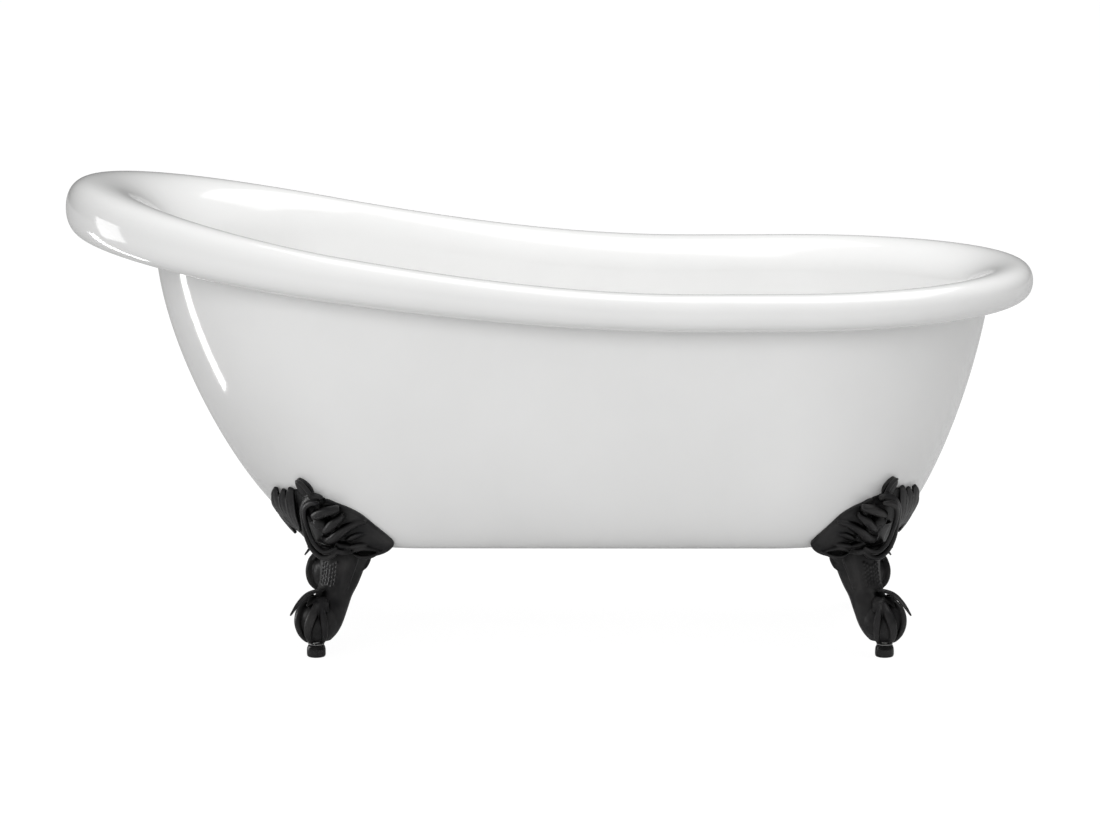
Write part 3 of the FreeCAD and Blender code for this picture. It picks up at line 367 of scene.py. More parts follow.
def make_liner():
    """Basin and rolled rim in one, bored for the waste and the overflow."""
    show = [section_points(liner_section(s, 0.0), LINER_SHOWN) for s in STATIONS]
    hide = [section_points(liner_section(s, LINER_WALL), LINER_HIDDEN) for s in STATIONS]
    liner = shell_between("liner_moulding", show, hide)
    cut_by(liner, waste_cutter(BASIN_FLOOR, LINER_CUT))
    spot, inward = overflow_spot()
    cut_by(liner, round_cutter("overflow_cutter", OVERFLOW_HOLE, spot - inward * WALL_CUT,
                               spot + inward * WALL_CUT))
    return holes_crisp(liner)


def make_skin():
    """Outer shell, flat below and tucked into the roll above, bored for the waste."""
    show, hide = [], []
    for station in STATIONS:
        for target, offset, steps in ((show, 0.0, SKIN_SHOWN), (hide, -SKIN_WALL, SKIN_HIDDEN)):
            wall, rise = skin_profile(station, offset)
            top = wall[3] + rise * SKIN_TUCK
            target.append(section_points([wall, [wall[3], top]], (steps, TUCK_STEPS)))
    skin = shell_between("skin_moulding", show, hide)
    return holes_crisp(cut_by(skin, waste_cutter(BASE_HEIGHT, SKIN_CUT)))


liner = make_liner()
skin = make_skin()


# ---------------------------------------------------------------- carved feet

# The foot's own frame: origin on the floor under the leveller, x inward along the foot's diagonal,
# y across towards the end of the bath, z up. Places on the bracket are (across, height, lift), where
# lift is the distance off the bath's skin.

DIAGONAL = math.cos(math.pi / 4)
FOOT_REACH = {-1: 371.0, 1: 531.0}
FOOT_SIDE = 200.0
# The seat is the skin behind the bracket. Below CAST_FROM it carries on downwards and slopes back.
SEAT_GAP = 0.5
SEAT_STEPS = 60
SEAT_IN_FRONT = -250
CAST_FROM = 203.0
BACK_SLOPE = 0.45
VOXEL = 1.15
SOFTEN_SHARE, SOFTEN_ROUNDS = 0.5, 2
FOOT_TRIANGLES = 36000
FOOT_LOW = 24.3
BORE_RADIUS = 5.1
BORE_FROM, BORE_TOP = 20.3, 80.6
PLATE_FROM, BOLT_IN = 20.0, 118.0
BOLT_ACROSS = 26.0
PLATE_ROUND, PLATE_STEPS = 16.0, 8
PLATE_LOW, PLATE_TOP = 166.7, 174.7
BOLT_HOLE = 4.5
BOLT_CUT = (150, 180)

# Leg sections: height, middle inward, half depth, half breadth.
LEG = [(26, 9, 17, 17), (36, 11, 25, 25), (50, 15, 31, 30), (72, 25, 33, 30), (92, 37, 33, 27),
       (110, 48, 37, 27), (132, 56, 41, 30), (157, 62, 47, 34), (185, 54, 45, 37), (212, 32, 36, 34)]
# One side of the leg's section, as shares of half depth and half breadth, from the keel in front to
# the back: the front corner is what the light catches.
LEG_SIDE = [(-0.68, 0.0), (-0.64, 0.42), (-0.56, 0.84), (-0.40, 0.95), (0.0, 0.98), (0.40, 0.93),
            (0.66, 0.76), (0.76, 0.40), (0.78, 0.0)]
ROUND_SIDE = [(math.cos(math.pi * (1 - i / 8)), math.sin(math.pi * (1 - i / 8))) for i in range(9)]
LEG_RINGS, LEG_STEPS = 60, 6
LEG_CURVE = 0.6
ANKLE, ANKLE_FADE = 88.0, 25.0

BALL = Vector((6, 0, 56))
BALL_RADIUS = 32.5
BALL_TALLER = 1.0
BALL_POLE = 0.12

PLATE_OUTLINE = [(-26, 256), (-12, 262), (6, 268), (30, 269), (46, 264), (62, 260), (80, 250), (94, 232),
                 (94, 208), (88, 188), (72, 176), (46, 165), (16, 157), (-12, 160), (-28, 176), (-30, 220)]
WING_OUTLINE = [(-24, 258), (-42, 253), (-59, 246), (-73, 236), (-82, 223), (-90, 210), (-97, 197),
                (-100, 186), (-89, 174), (-72, 166), (-55, 163), (-38, 167), (-20, 177), (-10, 205),
                (-12, 238)]
EAR_OUTLINE = [(0, 258), (-8, 268), (-8, 278), (-2, 286), (8, 291), (17, 286), (19, 277), (16, 266),
               (8, 258)]
EAR_RIM = [(-2, 254, 12), (-8, 268, 12), (-6, 280, 12), (3, 289, 10), (12, 290, 8)]
FACET_OUTLINE = [(-15, 198), (-28, 195), (-42, 190), (-28, 182), (-14, 176), (-14, 187)]

# Pillows: centre, lift of the edge, rise of the dome.
PILLOW_RINGS, PILLOW_STEPS = 9, 96
PILLOW_SUNK = -2.0
PLATE_DOME = ((30, 215), 2.0, 6.0)
WING_DOME = ((-52, 212), 3.0, 10.0)
EAR_DOME = ((6, 274), 5.0, 3.0)
FACET_DOME = ((-23, 188), 18.0, 4.0)

# Strokes: places along the stroke, half widths, depth.
STROKE_STEPS, STROKE_SIDES = 26, 14
STROKE_NUDGE = 0.01
STROKE_TIP = 0.25
EAR_RIM_WIDTHS, EAR_RIM_DEPTH = [2, 4, 4, 3, 1.5], 3.4
PETAL_DEPTH = 3.2
PETAL_EDGE_IN, PETAL_EDGE_LIFT = 1.2, 1.6
PETAL_EDGE_WIDTHS, PETAL_EDGE_DEPTH = [1.0, 1.7, 1.7, 1.0], 1.7
PETALS = [([(96, 250, 4), (98, 236, 8), (95, 216, 9), (86, 196, 6)], [3, 7.5, 7, 3]),
          ([(70, 268, 4), (78, 254, 8), (85, 234, 10), (86, 208, 8), (82, 192, 5)], [4, 9, 9, 7, 3]),
          ([(51, 268, 4), (60, 252, 9), (68, 231, 11), (74, 208, 9), (78, 192, 6)], [4, 8, 8, 6, 3]),
          ([(32, 273, 4), (40, 255, 9), (49, 234, 11), (60, 212, 11), (72, 194, 8)], [5, 8.5, 8, 7, 3]),
          ([(112, 230, 3), (108, 216, 7), (101, 200, 8), (93, 184, 5)], [3, 6.5, 6, 2])]
SCROLL = [(-13, -30, 262), (-15, -12, 262), (-14, 6, 252), (-9, 19, 236), (-2, 25, 219), (4, 28, 202),
          (8, 27, 186), (12, 19, 169), (15, 0, 158), (19, -18, 162), (23, -30, 174)]
SCROLL_RADII = [4, 7, 7.5, 6.5, 5.6, 5.2, 5.2, 5.2, 5, 4.4, 2.5]
INNER_SCROLL = [(-21, -30, 255), (-22, -12, 252), (-20, 2, 243), (-15, 9, 230), (-8, 13, 216), (-1, 15, 202),
                (4, 14, 189), (8, 8, 177), (11, -4, 169), (16, -16, 170), (21, -27, 178)]
SCROLL_FACING = (-0.9, 0, 0.4)
SCROLL_STEPS = 60
SCROLL_DEPTH, INNER_DEPTH = 5.0, 4.0
INNER_SHARE = 0.75
FOLDS = [([(-6, 240, 19), (-20, 246, 21), (-36, 251, 20), (-50, 253, 14)], [7, 8.5, 8, 5], 8),
         ([(-14, 217, 20), (-26, 225, 22), (-39, 234, 21), (-53, 242, 14)], [5, 7.5, 7.5, 4], 8),
         ([(4, 203, 18), (-8, 200, 21), (-22, 205, 21), (-36, 214, 19), (-50, 221, 16), (-64, 226, 12),
           (-78, 228, 7)], [2, 7, 8.5, 8, 6.5, 5, 2], 6),
         ([(-36, 198, 14), (-48, 204, 15.5), (-60, 209, 14.5), (-70, 211, 12)], [1, 4.5, 4.5, 1], 3),
         ([(-34, 184, 14), (-46, 189, 16.5), (-58, 192, 15), (-68, 192, 11)], [1.5, 4.5, 4, 1.5], 4),
         ([(-38, 178, 13), (-50, 184, 16), (-64, 187, 15), (-80, 181, 11)], [2, 3.5, 3.5, 1.5], 3.5),
         ([(-40, 173, 12), (-54, 171, 15), (-68, 173, 14), (-84, 180, 10)], [1.5, 3.5, 3.5, 1.5], 3.5)]
VOLUTE = ((-8, 226, 15), 14.5, 13.0)
PIT, PIT_RADIUS, PIT_PUSH = (-13, 227, 29.0), 3.0, 1.4

# Over the claw, in the foot's own frame: toes, spur and tendons. A toe runs from a turn at the ankle
# to a turn at the claw; the turns are from the front of the foot.
TOE_HEIGHTS = (93, 84, 72, 58, 44, 32, 25)
TOE_STAND = (3.5, 3.5, 3, 3, 3, 3, 2)
TOE_CURL, TOE_DEPTH, TOE_SHARP = 1.6, 5.5, 0.8
TOES = ((52, 8, (1.5, 6, 8, 8, 6.5, 4.5, 2)), (52, 66, (1, 3, 5.5, 6, 5, 3, 1)))
CUFF_PLACES, CUFF_STAND, CUFF_SINK, CUFF_DEPTH = 4, 8.5, 1.2, 4.0
CUFFS = ((0, 107, 80, (8, 12, 10, 2)), (74, 103, 74, (7, 10, 8, 1.5)), (-74, 103, 74, (7, 10, 8, 1.5)))
SPUR = [(14, 0, 106), (-8, 0, 105), (-24, 0, 100), (-40, 0, 89), (-55, 0, 74)]
SPUR_FACING = (-0.5, 0, 0.86)
SPUR_WIDTHS, SPUR_DEPTH = [9, 8, 6.5, 5, 2], 2.2
TENDON_RISE = 0.1
TENDONS = [([(64, -31, 168), (56, -32, 148), (48, -29, 126), (42, -27, 106)], [3, 4, 3.5, 2], 2.5),
           ([(66, -33, 168), (82, -31, 161), (90, -26, 150), (84, -25, 138), (72, -27, 132)],
            [3, 5, 5, 4, 1.5], 4)]
SCALE_ROWS = (3.5, 9.5, 15.5)
SCALE_PITCH = 6.6
SCALES_FROM, SCALES_TO = 108, 154
SCALE_LEAN = 0.09
SCALE_RADII = (1.6, 2.6, 3.0)


def foot_matrix(end_sign, side_sign):
    """From a foot's own frame to the bath's."""
    return Matrix(((-end_sign * DIAGONAL, end_sign * DIAGONAL, 0, end_sign * FOOT_REACH[end_sign]),
                   (-side_sign * DIAGONAL, -side_sign * DIAGONAL, 0, side_sign * FOOT_SIDE),
                   (0, 0, 1, 0), (0, 0, 0, 1)))


def spline(points, share, closed=False):
    """Point on a Catmull-Rom curve through vectors of any size, share from 0 to 1."""
    count = len(points)
    spans = count if closed else count - 1
    at = min(share * spans, spans - 1e-6)
    first = int(at)
    t = at - first

    def pick(i):
        return points[i % count] if closed else points[min(max(i, 0), count - 1)]

    a, b, c, d = (Vector(pick(first + k)) for k in (-1, 0, 1, 2))
    return 0.5 * (2 * b + (c - a) * t + (2 * a - 5 * b + 4 * c - d) * t ** 2
                  + (3 * b - a - 3 * c + d) * t ** 3)


def level(values, share):
    """Value along a list at a share of its length, straight between entries."""
    at = min(max(share, 0.0), 1.0) * (len(values) - 1)
    first = min(int(at), len(values) - 2)
    return values[first] + (values[first + 1] - values[first]) * (at - first)


class Seat:
    """The bath's skin behind one foot, in the foot's own frame."""

    def __init__(self, end_sign):
        to_foot = foot_matrix(end_sign, -1).inverted()
        row = SEAT_STEPS + 1
        points = []
        for station in STATIONS:
            wall = skin_profile(station, SEAT_GAP)[0]
            points += [to_foot @ bezier(wall, i / SEAT_STEPS) for i in range(row)]
        faces = []
        for j in range(len(STATIONS)):
            k = (j + 1) % len(STATIONS)
            faces += [(j * row + i, k * row + i, k * row + i + 1, j * row + i + 1)
                      for i in range(SEAT_STEPS)]
        self.tree = BVHTree.FromPolygons(points, faces)

    def place(self, across, height, lift):
        """Point off the skin, and the way off it."""
        cast = max(height, CAST_FROM)
        spot, way, _, _ = self.tree.ray_cast(Vector((SEAT_IN_FRONT, across, cast)), Vector((1, 0, 0)))
        if way.x > 0:
            way = -way
        drop = cast - height
        return spot + Vector((BACK_SLOPE * drop, 0, -drop)) + way * lift, way

    def off(self, point):
        """The point, moved out of the skin if it is inside it."""
        spot, way, _, _ = self.tree.find_nearest(point)
        if way.x > 0:
            way = -way
        depth = (point - spot).dot(way)
        return point if depth >= 0 or point.z < BASE_HEIGHT else point - way * depth


def stroke(bm, places, ways, widths, depth, steps=STROKE_STEPS, sharp=1.0):
    """Closed tapered stroke through places; ways point off the surface under it."""
    rings = []
    for i in range(steps + 1):
        share = i / steps
        middle = spline(places, share)
        ahead = spline(places, min(share + STROKE_NUDGE, 1))
        along = (ahead - spline(places, max(share - STROKE_NUDGE, 0))).normalized()
        way = spline(ways, share)
        way = (way - along * way.dot(along)).normalized()
        side = along.cross(way)
        width = level(widths, share)
        thick = depth * min(1.0, width / max(widths) + STROKE_TIP)
        ring = []
        for k in range(STROKE_SIDES):
            turn = 2 * math.pi * k / STROKE_SIDES
            swing = math.cos(turn)
            rise = abs(math.sin(turn)) ** sharp * (1 if math.sin(turn) > 0 else -1)
            ring.append(bm.verts.new(middle + side * width * swing + way * thick * rise))
        rings.append(ring)
    join_rings(bm, rings)
    bm.faces.new(list(reversed(rings[0])))
    bm.faces.new(rings[-1])


def spot_stroke(bm, spots, widths, depth, **shape):
    """Stroke through spots that are pairs of a point and the way off the surface there."""
    stroke(bm, [point for point, _ in spots], [way for _, way in spots], widths, depth, **shape)


def skin_stroke(bm, seat, places, widths, depth):
    spot_stroke(bm, [seat.place(*place) for place in places], widths, depth)


def one_way_stroke(bm, places, facing, widths, depth, **shape):
    """Stroke through places in the foot's frame, with one way off the surface all along."""
    spot_stroke(bm, [(Vector(place), Vector(facing)) for place in places], widths, depth, **shape)


def petal(bm, seat, spots, widths):
    """Thin petal with a raised edge on both sides."""
    skin_stroke(bm, seat, spots, widths, PETAL_DEPTH)
    for hand in (-1, 1):
        edge = []
        for i, (across, height, lift) in enumerate(spots):
            before, after = spots[max(i - 1, 0)], spots[min(i + 1, len(spots) - 1)]
            run = Vector((after[0] - before[0], after[1] - before[1])).normalized()
            out = Vector((-run.y, run.x)) * hand * (widths[i] - PETAL_EDGE_IN)
            edge.append((across + out.x, height + out.y, lift + PETAL_EDGE_LIFT))
        skin_stroke(bm, seat, edge, PETAL_EDGE_WIDTHS, PETAL_EDGE_DEPTH)


def pillow(bm, seat, outline, centre, base, thick):
    """Domed plate on the skin inside a closed outline."""
    loops = [(1.0, PILLOW_SUNK)]
    for j in range(PILLOW_RINGS):
        turn = math.pi / 2 * j / PILLOW_RINGS
        loops.append((math.cos(turn), base + thick * math.sin(turn)))
    rows = []
    for share, lift in loops:
        row = []
        for i in range(PILLOW_STEPS):
            spot = spline(outline, i / PILLOW_STEPS, closed=True)
            across = centre[0] + (spot.x - centre[0]) * share
            height = centre[1] + (spot.y - centre[1]) * share
            row.append(bm.verts.new(seat.place(across, height, lift)[0]))
        rows.append(row)
    join_rings(bm, rows)
    for row, lift, flip in ((rows[0], PILLOW_SUNK, True), (rows[-1], base + thick, False)):
        hub = bm.verts.new(seat.place(centre[0], centre[1], lift)[0])
        for i in range(PILLOW_STEPS):
            k = (i + 1) % PILLOW_STEPS
            bm.faces.new((hub, row[k], row[i]) if flip else (hub, row[i], row[k]))


def leg(bm):
    """Leg and heel: keeled in front above the ankle, round below it."""
    half = len(LEG_SIDE)
    turns = 2 * half - 2
    around = turns * LEG_STEPS
    rings = []
    for i in range(LEG_RINGS + 1):
        height, middle, depth, breadth = spline(LEG, i / LEG_RINGS)
        keeled = min(max((height - ANKLE) / ANKLE_FADE, 0.0), 1.0)
        corners = []
        for k in range(turns):
            index = k if k < half else 2 * (half - 1) - k
            hand = 1 if k < half else -1
            x = ROUND_SIDE[index][0] * (1 - keeled) + LEG_SIDE[index][0] * keeled
            y = ROUND_SIDE[index][1] * (1 - keeled) + LEG_SIDE[index][1] * keeled
            corners.append((middle + depth * x, hand * breadth * y, height))
        closed = [Vector(c) for c in corners + corners[:1]]
        ring = []
        for k in range(around):
            straight = level(closed, k / around)
            curved = spline(corners, k / around, closed=True)
            ring.append(bm.verts.new(straight.lerp(curved, LEG_CURVE)))
        rings.append(ring)
    for low, high in zip(rings, rings[1:]):
        for k in range(len(low)):
            j = (k + 1) % len(low)
            bm.faces.new((low[k], high[k], high[j], low[j]))
    bm.faces.new(rings[0])
    bm.faces.new(list(reversed(rings[-1])))


def ellipsoid(bm, centre, radii, way=None):
    """Ellipsoid whose first radius lies along way, or along X."""
    turn = way.to_track_quat("X", "Z").to_matrix().to_4x4() if way else Matrix.Identity(4)
    shape = Matrix.Translation(centre) @ turn @ Matrix.Diagonal((*radii, 1))
    bmesh.ops.create_icosphere(bm, subdivisions=4, radius=1, matrix=shape)


def over_ball(turn, height, stand):
    """Point over the ball at a turn from the foot's front, and the way off the ball."""
    turn = math.radians(turn)
    rise = (height - BALL.z) / BALL_RADIUS
    reach = math.sqrt(max(1 - rise ** 2, BALL_POLE)) * BALL_RADIUS
    way = Vector((-reach * math.cos(turn), -reach * math.sin(turn), height - BALL.z)).normalized()
    return BALL + way * (BALL_RADIUS + stand), way


def toe(bm, hand, turn_high, turn_low, widths):
    """Slim toe lying on the ball, from the ankle to the claw under it."""
    spots = []
    for i, (height, stand) in enumerate(zip(TOE_HEIGHTS, TOE_STAND)):
        share = i / (len(TOE_HEIGHTS) - 1)
        turn = turn_high + (turn_low - turn_high) * (1 - (1 - share) ** TOE_CURL)
        spots.append(over_ball(hand * turn, height, stand))
    spot_stroke(bm, spots, widths, TOE_DEPTH, sharp=TOE_SHARP)


def cuff(bm, turn, top, tip, widths):
    """Pointed lobe over the tops of the toes."""
    spots = []
    for i in range(CUFF_PLACES):
        height = top + (tip - top) * i / (CUFF_PLACES - 1)
        spots.append(over_ball(turn, height, CUFF_STAND - CUFF_SINK * i))
    spot_stroke(bm, spots, widths, CUFF_DEPTH)


def leg_front(height):
    """Inward place of the leg's keel at a height."""
    section = spline(LEG, share_at(lambda at: spline(LEG, at)[0], height, halvings=24))
    return section[1] + LEG_SIDE[0][0] * section[2]


def scales(bm):
    """Rows of small scales on each side of the keel."""
    count = int((SCALES_TO - SCALES_FROM) / SCALE_PITCH)
    for row, across in enumerate(SCALE_ROWS):
        for i in range(count):
            height = SCALES_FROM + SCALE_PITCH * (i + row / 2)
            front = leg_front(height) + across * SCALE_LEAN
            for hand in (-1, 1):
                ellipsoid(bm, Vector((front, hand * across, height)), SCALE_RADII)


def bolting_plate(bm):
    """Flat plate under the bath, round at its two outer corners."""
    corners = [(PLATE_FROM, -BOLT_ACROSS - PLATE_ROUND), (PLATE_FROM, BOLT_ACROSS + PLATE_ROUND)]
    for hand in (1, -1):
        for i in range(PLATE_STEPS + 1):
            share = i / PLATE_STEPS
            turn = math.pi / 2 * (share if hand < 0 else 1 - share)
            corners.append((BOLT_IN + PLATE_ROUND * math.cos(turn),
                            hand * (BOLT_ACROSS + PLATE_ROUND * math.sin(turn))))
    base = [bm.verts.new((x, y, PLATE_LOW)) for x, y in corners]
    cap = [bm.verts.new((x, y, PLATE_TOP)) for x, y in corners]
    for i in range(len(corners)):
        k = (i + 1) % len(corners)
        bm.faces.new((base[i], base[k], cap[k], cap[i]))
    bm.faces.new(list(reversed(base)))
    bm.faces.new(cap)


def carve(end_sign):
    """Right-hand foot of one end, in the foot's own frame, as one closed mesh."""
    seat = Seat(end_sign)
    bm = bmesh.new()
    leg(bm)
    bolting_plate(bm)
    ellipsoid(bm, BALL, (BALL_RADIUS, BALL_RADIUS, BALL_RADIUS + BALL_TALLER))
    for turn_high, turn_low, widths in TOES:
        for hand in (1, -1):
            toe(bm, hand, turn_high, turn_low, widths)
    for lobe in CUFFS:
        cuff(bm, *lobe)
    one_way_stroke(bm, SPUR, SPUR_FACING, SPUR_WIDTHS, SPUR_DEPTH)
    for spots, widths, depth in TENDONS:
        for hand in (1, -1):
            places = [(x, hand * y, z) for x, y, z in spots]
            one_way_stroke(bm, places, (0, -hand, TENDON_RISE), widths, depth)
    scales(bm)
    pillow(bm, seat, PLATE_OUTLINE, *PLATE_DOME)
    pillow(bm, seat, WING_OUTLINE, *WING_DOME)
    pillow(bm, seat, EAR_OUTLINE, *EAR_DOME)
    skin_stroke(bm, seat, EAR_RIM, EAR_RIM_WIDTHS, EAR_RIM_DEPTH)
    pillow(bm, seat, FACET_OUTLINE, *FACET_DOME)
    for spots, widths in PETALS:
        petal(bm, seat, spots, widths)
    one_way_stroke(bm, SCROLL, SCROLL_FACING, SCROLL_RADII, SCROLL_DEPTH, steps=SCROLL_STEPS)
    inner_radii = [INNER_SHARE * radius for radius in SCROLL_RADII]
    one_way_stroke(bm, INNER_SCROLL, SCROLL_FACING, inner_radii, INNER_DEPTH, steps=SCROLL_STEPS)
    for spots, widths, depth in FOLDS:
        skin_stroke(bm, seat, spots, widths, depth)
    (across, height, lift), breadth, thick = VOLUTE
    spot, way = seat.place(across, height, lift)
    ellipsoid(bm, spot, (thick, breadth, breadth), way)
    bmesh.ops.recalc_face_normals(bm, faces=bm.faces)
    blank = mesh_object("foot_blank", bm)
    return finish_casting(blank, seat)


def finish_casting(blank, seat):
    """Fuses the strokes into one skin, seats it on the bath, thins it and bores it for the leveller."""
    remesh = blank.modifiers.new("fuse", "REMESH")
    remesh.mode = "VOXEL"
    remesh.voxel_size = VOXEL * MM
    smooth = blank.modifiers.new("soften", "SMOOTH")
    smooth.factor = SOFTEN_SHARE
    smooth.iterations = SOFTEN_ROUNDS
    applied(blank)
    pit = seat.place(*PIT)[0]
    for vertex in blank.data.vertices:
        point = vertex.co / MM
        inside = PIT_RADIUS - (point - pit).length
        if inside > 0:
            point += Vector((inside, 0, 0)) * PIT_PUSH
        vertex.co = seat.off(point) * MM
        vertex.co.z = max(vertex.co.z, FOOT_LOW * MM)
    thin = blank.modifiers.new("thin", "DECIMATE")
    thin.ratio = min(1.0, FOOT_TRIANGLES / (2 * len(blank.data.polygons)))
    applied(blank)
    cut_by(blank, round_cutter("bore_cutter", BORE_RADIUS, UP * BORE_FROM, UP * BORE_TOP))
    for across in (-BOLT_ACROSS, BOLT_ACROSS):
        spot = Vector((BOLT_IN, across, 0))
        low, high = [spot + UP * height for height in BOLT_CUT]
        cut_by(blank, round_cutter("bolt_cutter", BOLT_HOLE, low, high))
    for polygon in blank.data.polygons:
        polygon.use_smooth = True
    return blank


FEET = {"head_right": (-1, -1), "head_left": (-1, 1), "tap_right": (1, -1), "tap_left": (1, 1)}


def place_feet():
    """A foot at each corner, in place of the plain castings."""
    blanks = {end_sign: carve(end_sign) for end_sign in (-1, 1)}
    feet = {}
    for name, (end_sign, side_sign) in FEET.items():
        mesh = blanks[end_sign].data.copy()
        matrix = foot_matrix(end_sign, side_sign)
        matrix.translation *= MM
        mesh.transform(matrix)
        if matrix.determinant() < 0:
            mesh.flip_normals()
        obj = bpy.data.objects.new("foot_casting_" + name, mesh)
        bpy.context.scene.collection.objects.link(obj)
        feet[name] = obj
    for blank in blanks.values():
        bpy.data.objects.remove(blank)
    return feet


feet = place_feet()


# ---------------------------------------------------------------- turned pieces

# Corners of turned pieces, from axis to axis: radius, height.
PAD = [(0, 0), (11.6, 0), (13.3, 0.5), (14.4, 1.6), (14.9, 3.2), (15, 5), (15, 10.5), (14.8, 13),
       (14.3, 15.4), (13.4, 17.6), (12.3, 19.1), (11, 19.8), (9.4, 20), (7.05, 20), (7.05, 7), (0, 7)]
COLLAR = [(7, 7.05), (7, 20.05), (12.3, 20.05), (12.8, 20.3), (13, 20.8), (13, 21.3), (12.8, 21.7),
          (12.3, 22), (4.95, 22)]
STUD_TOP = 70.0
STUD_CHAMFER = 1.0
STUD_SMOOTH_ANGLE = 50
THREAD_LOW = 23.0
THREAD_RADIUS = 4.95
THREAD_DEPTH = 0.85
THREAD_PITCH = 1.5
THREAD_STEPS = 24
ROWS_PER_TURN = 4
STEM = [(0, 167.5), (3.2, 167.5), (4, 168.4), (4, 171), (3.3, 171.4), (3.3, 173), (4, 173.4), (4, 176),
        (3.3, 176.4), (3.3, 178), (4, 178.4), (4, 211.5), (3.7, 212), (3.7, 213.5), (0, 213.5)]


def stud_mesh(at):
    """Collar and threaded shank: the thread's helix comes from its depth at each height and turn."""
    bm = bmesh.new()
    rings = []
    turns = [2 * math.pi * i / THREAD_STEPS for i in range(THREAD_STEPS)]

    def ring(radii, height):
        rings.append([bm.verts.new(at + Vector((r * math.cos(a), r * math.sin(a), height)))
                      for r, a in zip(radii, turns)])

    for radius, height in COLLAR:
        ring([radius] * THREAD_STEPS, height)
    rows = int((STUD_TOP - STUD_CHAMFER - THREAD_LOW) / THREAD_PITCH * ROWS_PER_TURN)
    for row in range(rows + 1):
        height = THREAD_LOW + row * THREAD_PITCH / ROWS_PER_TURN
        ease = min(1.0, row / ROWS_PER_TURN, (rows - row) / ROWS_PER_TURN)
        radii = []
        for turn in turns:
            phase = (height / THREAD_PITCH - turn / (2 * math.pi)) % 1
            radii.append(THREAD_RADIUS - THREAD_DEPTH * ease * (1 - abs(2 * phase - 1)))
        ring(radii, height)
    ring([THREAD_RADIUS - STUD_CHAMFER] * THREAD_STEPS, STUD_TOP)
    join_rings(bm, rings)
    bm.faces.new(list(reversed(rings[0])))
    bm.faces.new(rings[-1])
    bmesh.ops.recalc_face_normals(bm, faces=bm.faces)
    return bm


def make_levellers():
    """Pads and studs, each with its body, the node it stands in for and its finish."""
    pieces = {}
    for name, (end_sign, side_sign) in FEET.items():
        at = Vector((end_sign * FOOT_REACH[end_sign], side_sign * FOOT_SIDE, 0))
        pad = mesh_object("pad_" + name + "_turned", lathe(PAD, at))
        stud = mesh_object("stud_" + name + "_turned", stud_mesh(at), STUD_SMOOTH_ANGLE)
        pieces[pad] = ("pad_" + name, "leveller_pad_" + name, "black_rubber")
        pieces[stud] = ("stud_" + name, "leveller_stud_" + name, "steel")
    return pieces


# ---------------------------------------------------------------- finish

PATCH_RANGE = (0.3, 0.7)
PATCH_DETAIL, GRAIN_DETAIL = 5, 3
COAT_ROUGHNESS = 0.08
# Painted shade in the castings' creases and hollows: how far the occlusion test reaches, the occlusion at
# which the shade is darkest, and its samples.
SHADE_REACH = 20.0
SHADE_OPEN = 0.5
SHADE_SAMPLES = 8


def added(nodes, kind, **inputs):
    """New shader node with these inputs set."""
    node = nodes.new("ShaderNode" + kind)
    for name, value in inputs.items():
        node.inputs[name.replace("_", " ")].default_value = value
    return node


def painted_fold_shade(nodes, links, colour, share):
    """Painted shade: the colour, falling to that share of itself in the deepest creases of the shape, as
    ambient occlusion finds them.
    """
    occlusion = added(nodes, "AmbientOcclusion", Distance=SHADE_REACH * MM)
    occlusion.samples = SHADE_SAMPLES
    occlusion.only_local = True
    depth = added(nodes, "MapRange", From_Min=SHADE_OPEN, To_Min=share)
    links.new(occlusion.outputs["AO"], depth.inputs["Value"])
    shaded_colour = added(nodes, "VectorMath")
    shaded_colour.operation = "SCALE"
    links.new(colour, shaded_colour.inputs[0])
    links.new(depth.outputs["Result"], shaded_colour.inputs["Scale"])
    return shaded_colour.outputs["Vector"]


def finish(name, colours, patch, roughness, grain, metallic=0.0, coat=0.0, specular=0.5, stretch=(1, 1, 1),
           fold_shade_share=None):
    """Material from two noises: patch varies colour and roughness, grain is (scale, depth) of the bump.
    With a share given, painted shade darkens the colour to that share of itself in the deepest creases of
    the shape.
    """
    mat = bpy.data.materials.new(name)
    mat.use_nodes = True
    nodes, links = mat.node_tree.nodes, mat.node_tree.links
    shader = nodes["Principled BSDF"]
    for socket, value in (("Metallic", metallic), ("Coat Weight", coat), ("Coat Roughness", COAT_ROUGHNESS),
                          ("Specular IOR Level", specular)):
        shader.inputs[socket].default_value = value
    place = added(nodes, "TexCoord")
    scaled = added(nodes, "Mapping", Scale=stretch)
    links.new(place.outputs["Object"], scaled.inputs["Vector"])
    patches = added(nodes, "TexNoise", Scale=patch, Detail=PATCH_DETAIL)
    links.new(scaled.outputs["Vector"], patches.inputs["Vector"])
    ramp = added(nodes, "ValToRGB")
    for stop, at, colour in zip(ramp.color_ramp.elements, PATCH_RANGE, colours):
        stop.position = at
        stop.color = (*colour, 1)
    links.new(patches.outputs["Fac"], ramp.inputs["Fac"])
    shade = ramp.outputs["Color"]
    # Painted shade: ambient occlusion darkens the colour in creases and hollows.
    if fold_shade_share is not None:
        shade = painted_fold_shade(nodes, links, shade, fold_shade_share)
    links.new(shade, shader.inputs["Base Color"])
    spread = added(nodes, "MapRange", From_Min=PATCH_RANGE[0], From_Max=PATCH_RANGE[1],
                   To_Min=roughness[0], To_Max=roughness[1])
    links.new(patches.outputs["Fac"], spread.inputs["Value"])
    links.new(spread.outputs["Result"], shader.inputs["Roughness"])
    grains = added(nodes, "TexNoise", Scale=grain[0], Detail=GRAIN_DETAIL)
    links.new(scaled.outputs["Vector"], grains.inputs["Vector"])
    bump = added(nodes, "Bump", Strength=1.0, Distance=grain[1] * MM)
    links.new(grains.outputs["Fac"], bump.inputs["Height"])
    links.new(bump.outputs["Normal"], shader.inputs["Normal"])
    return mat


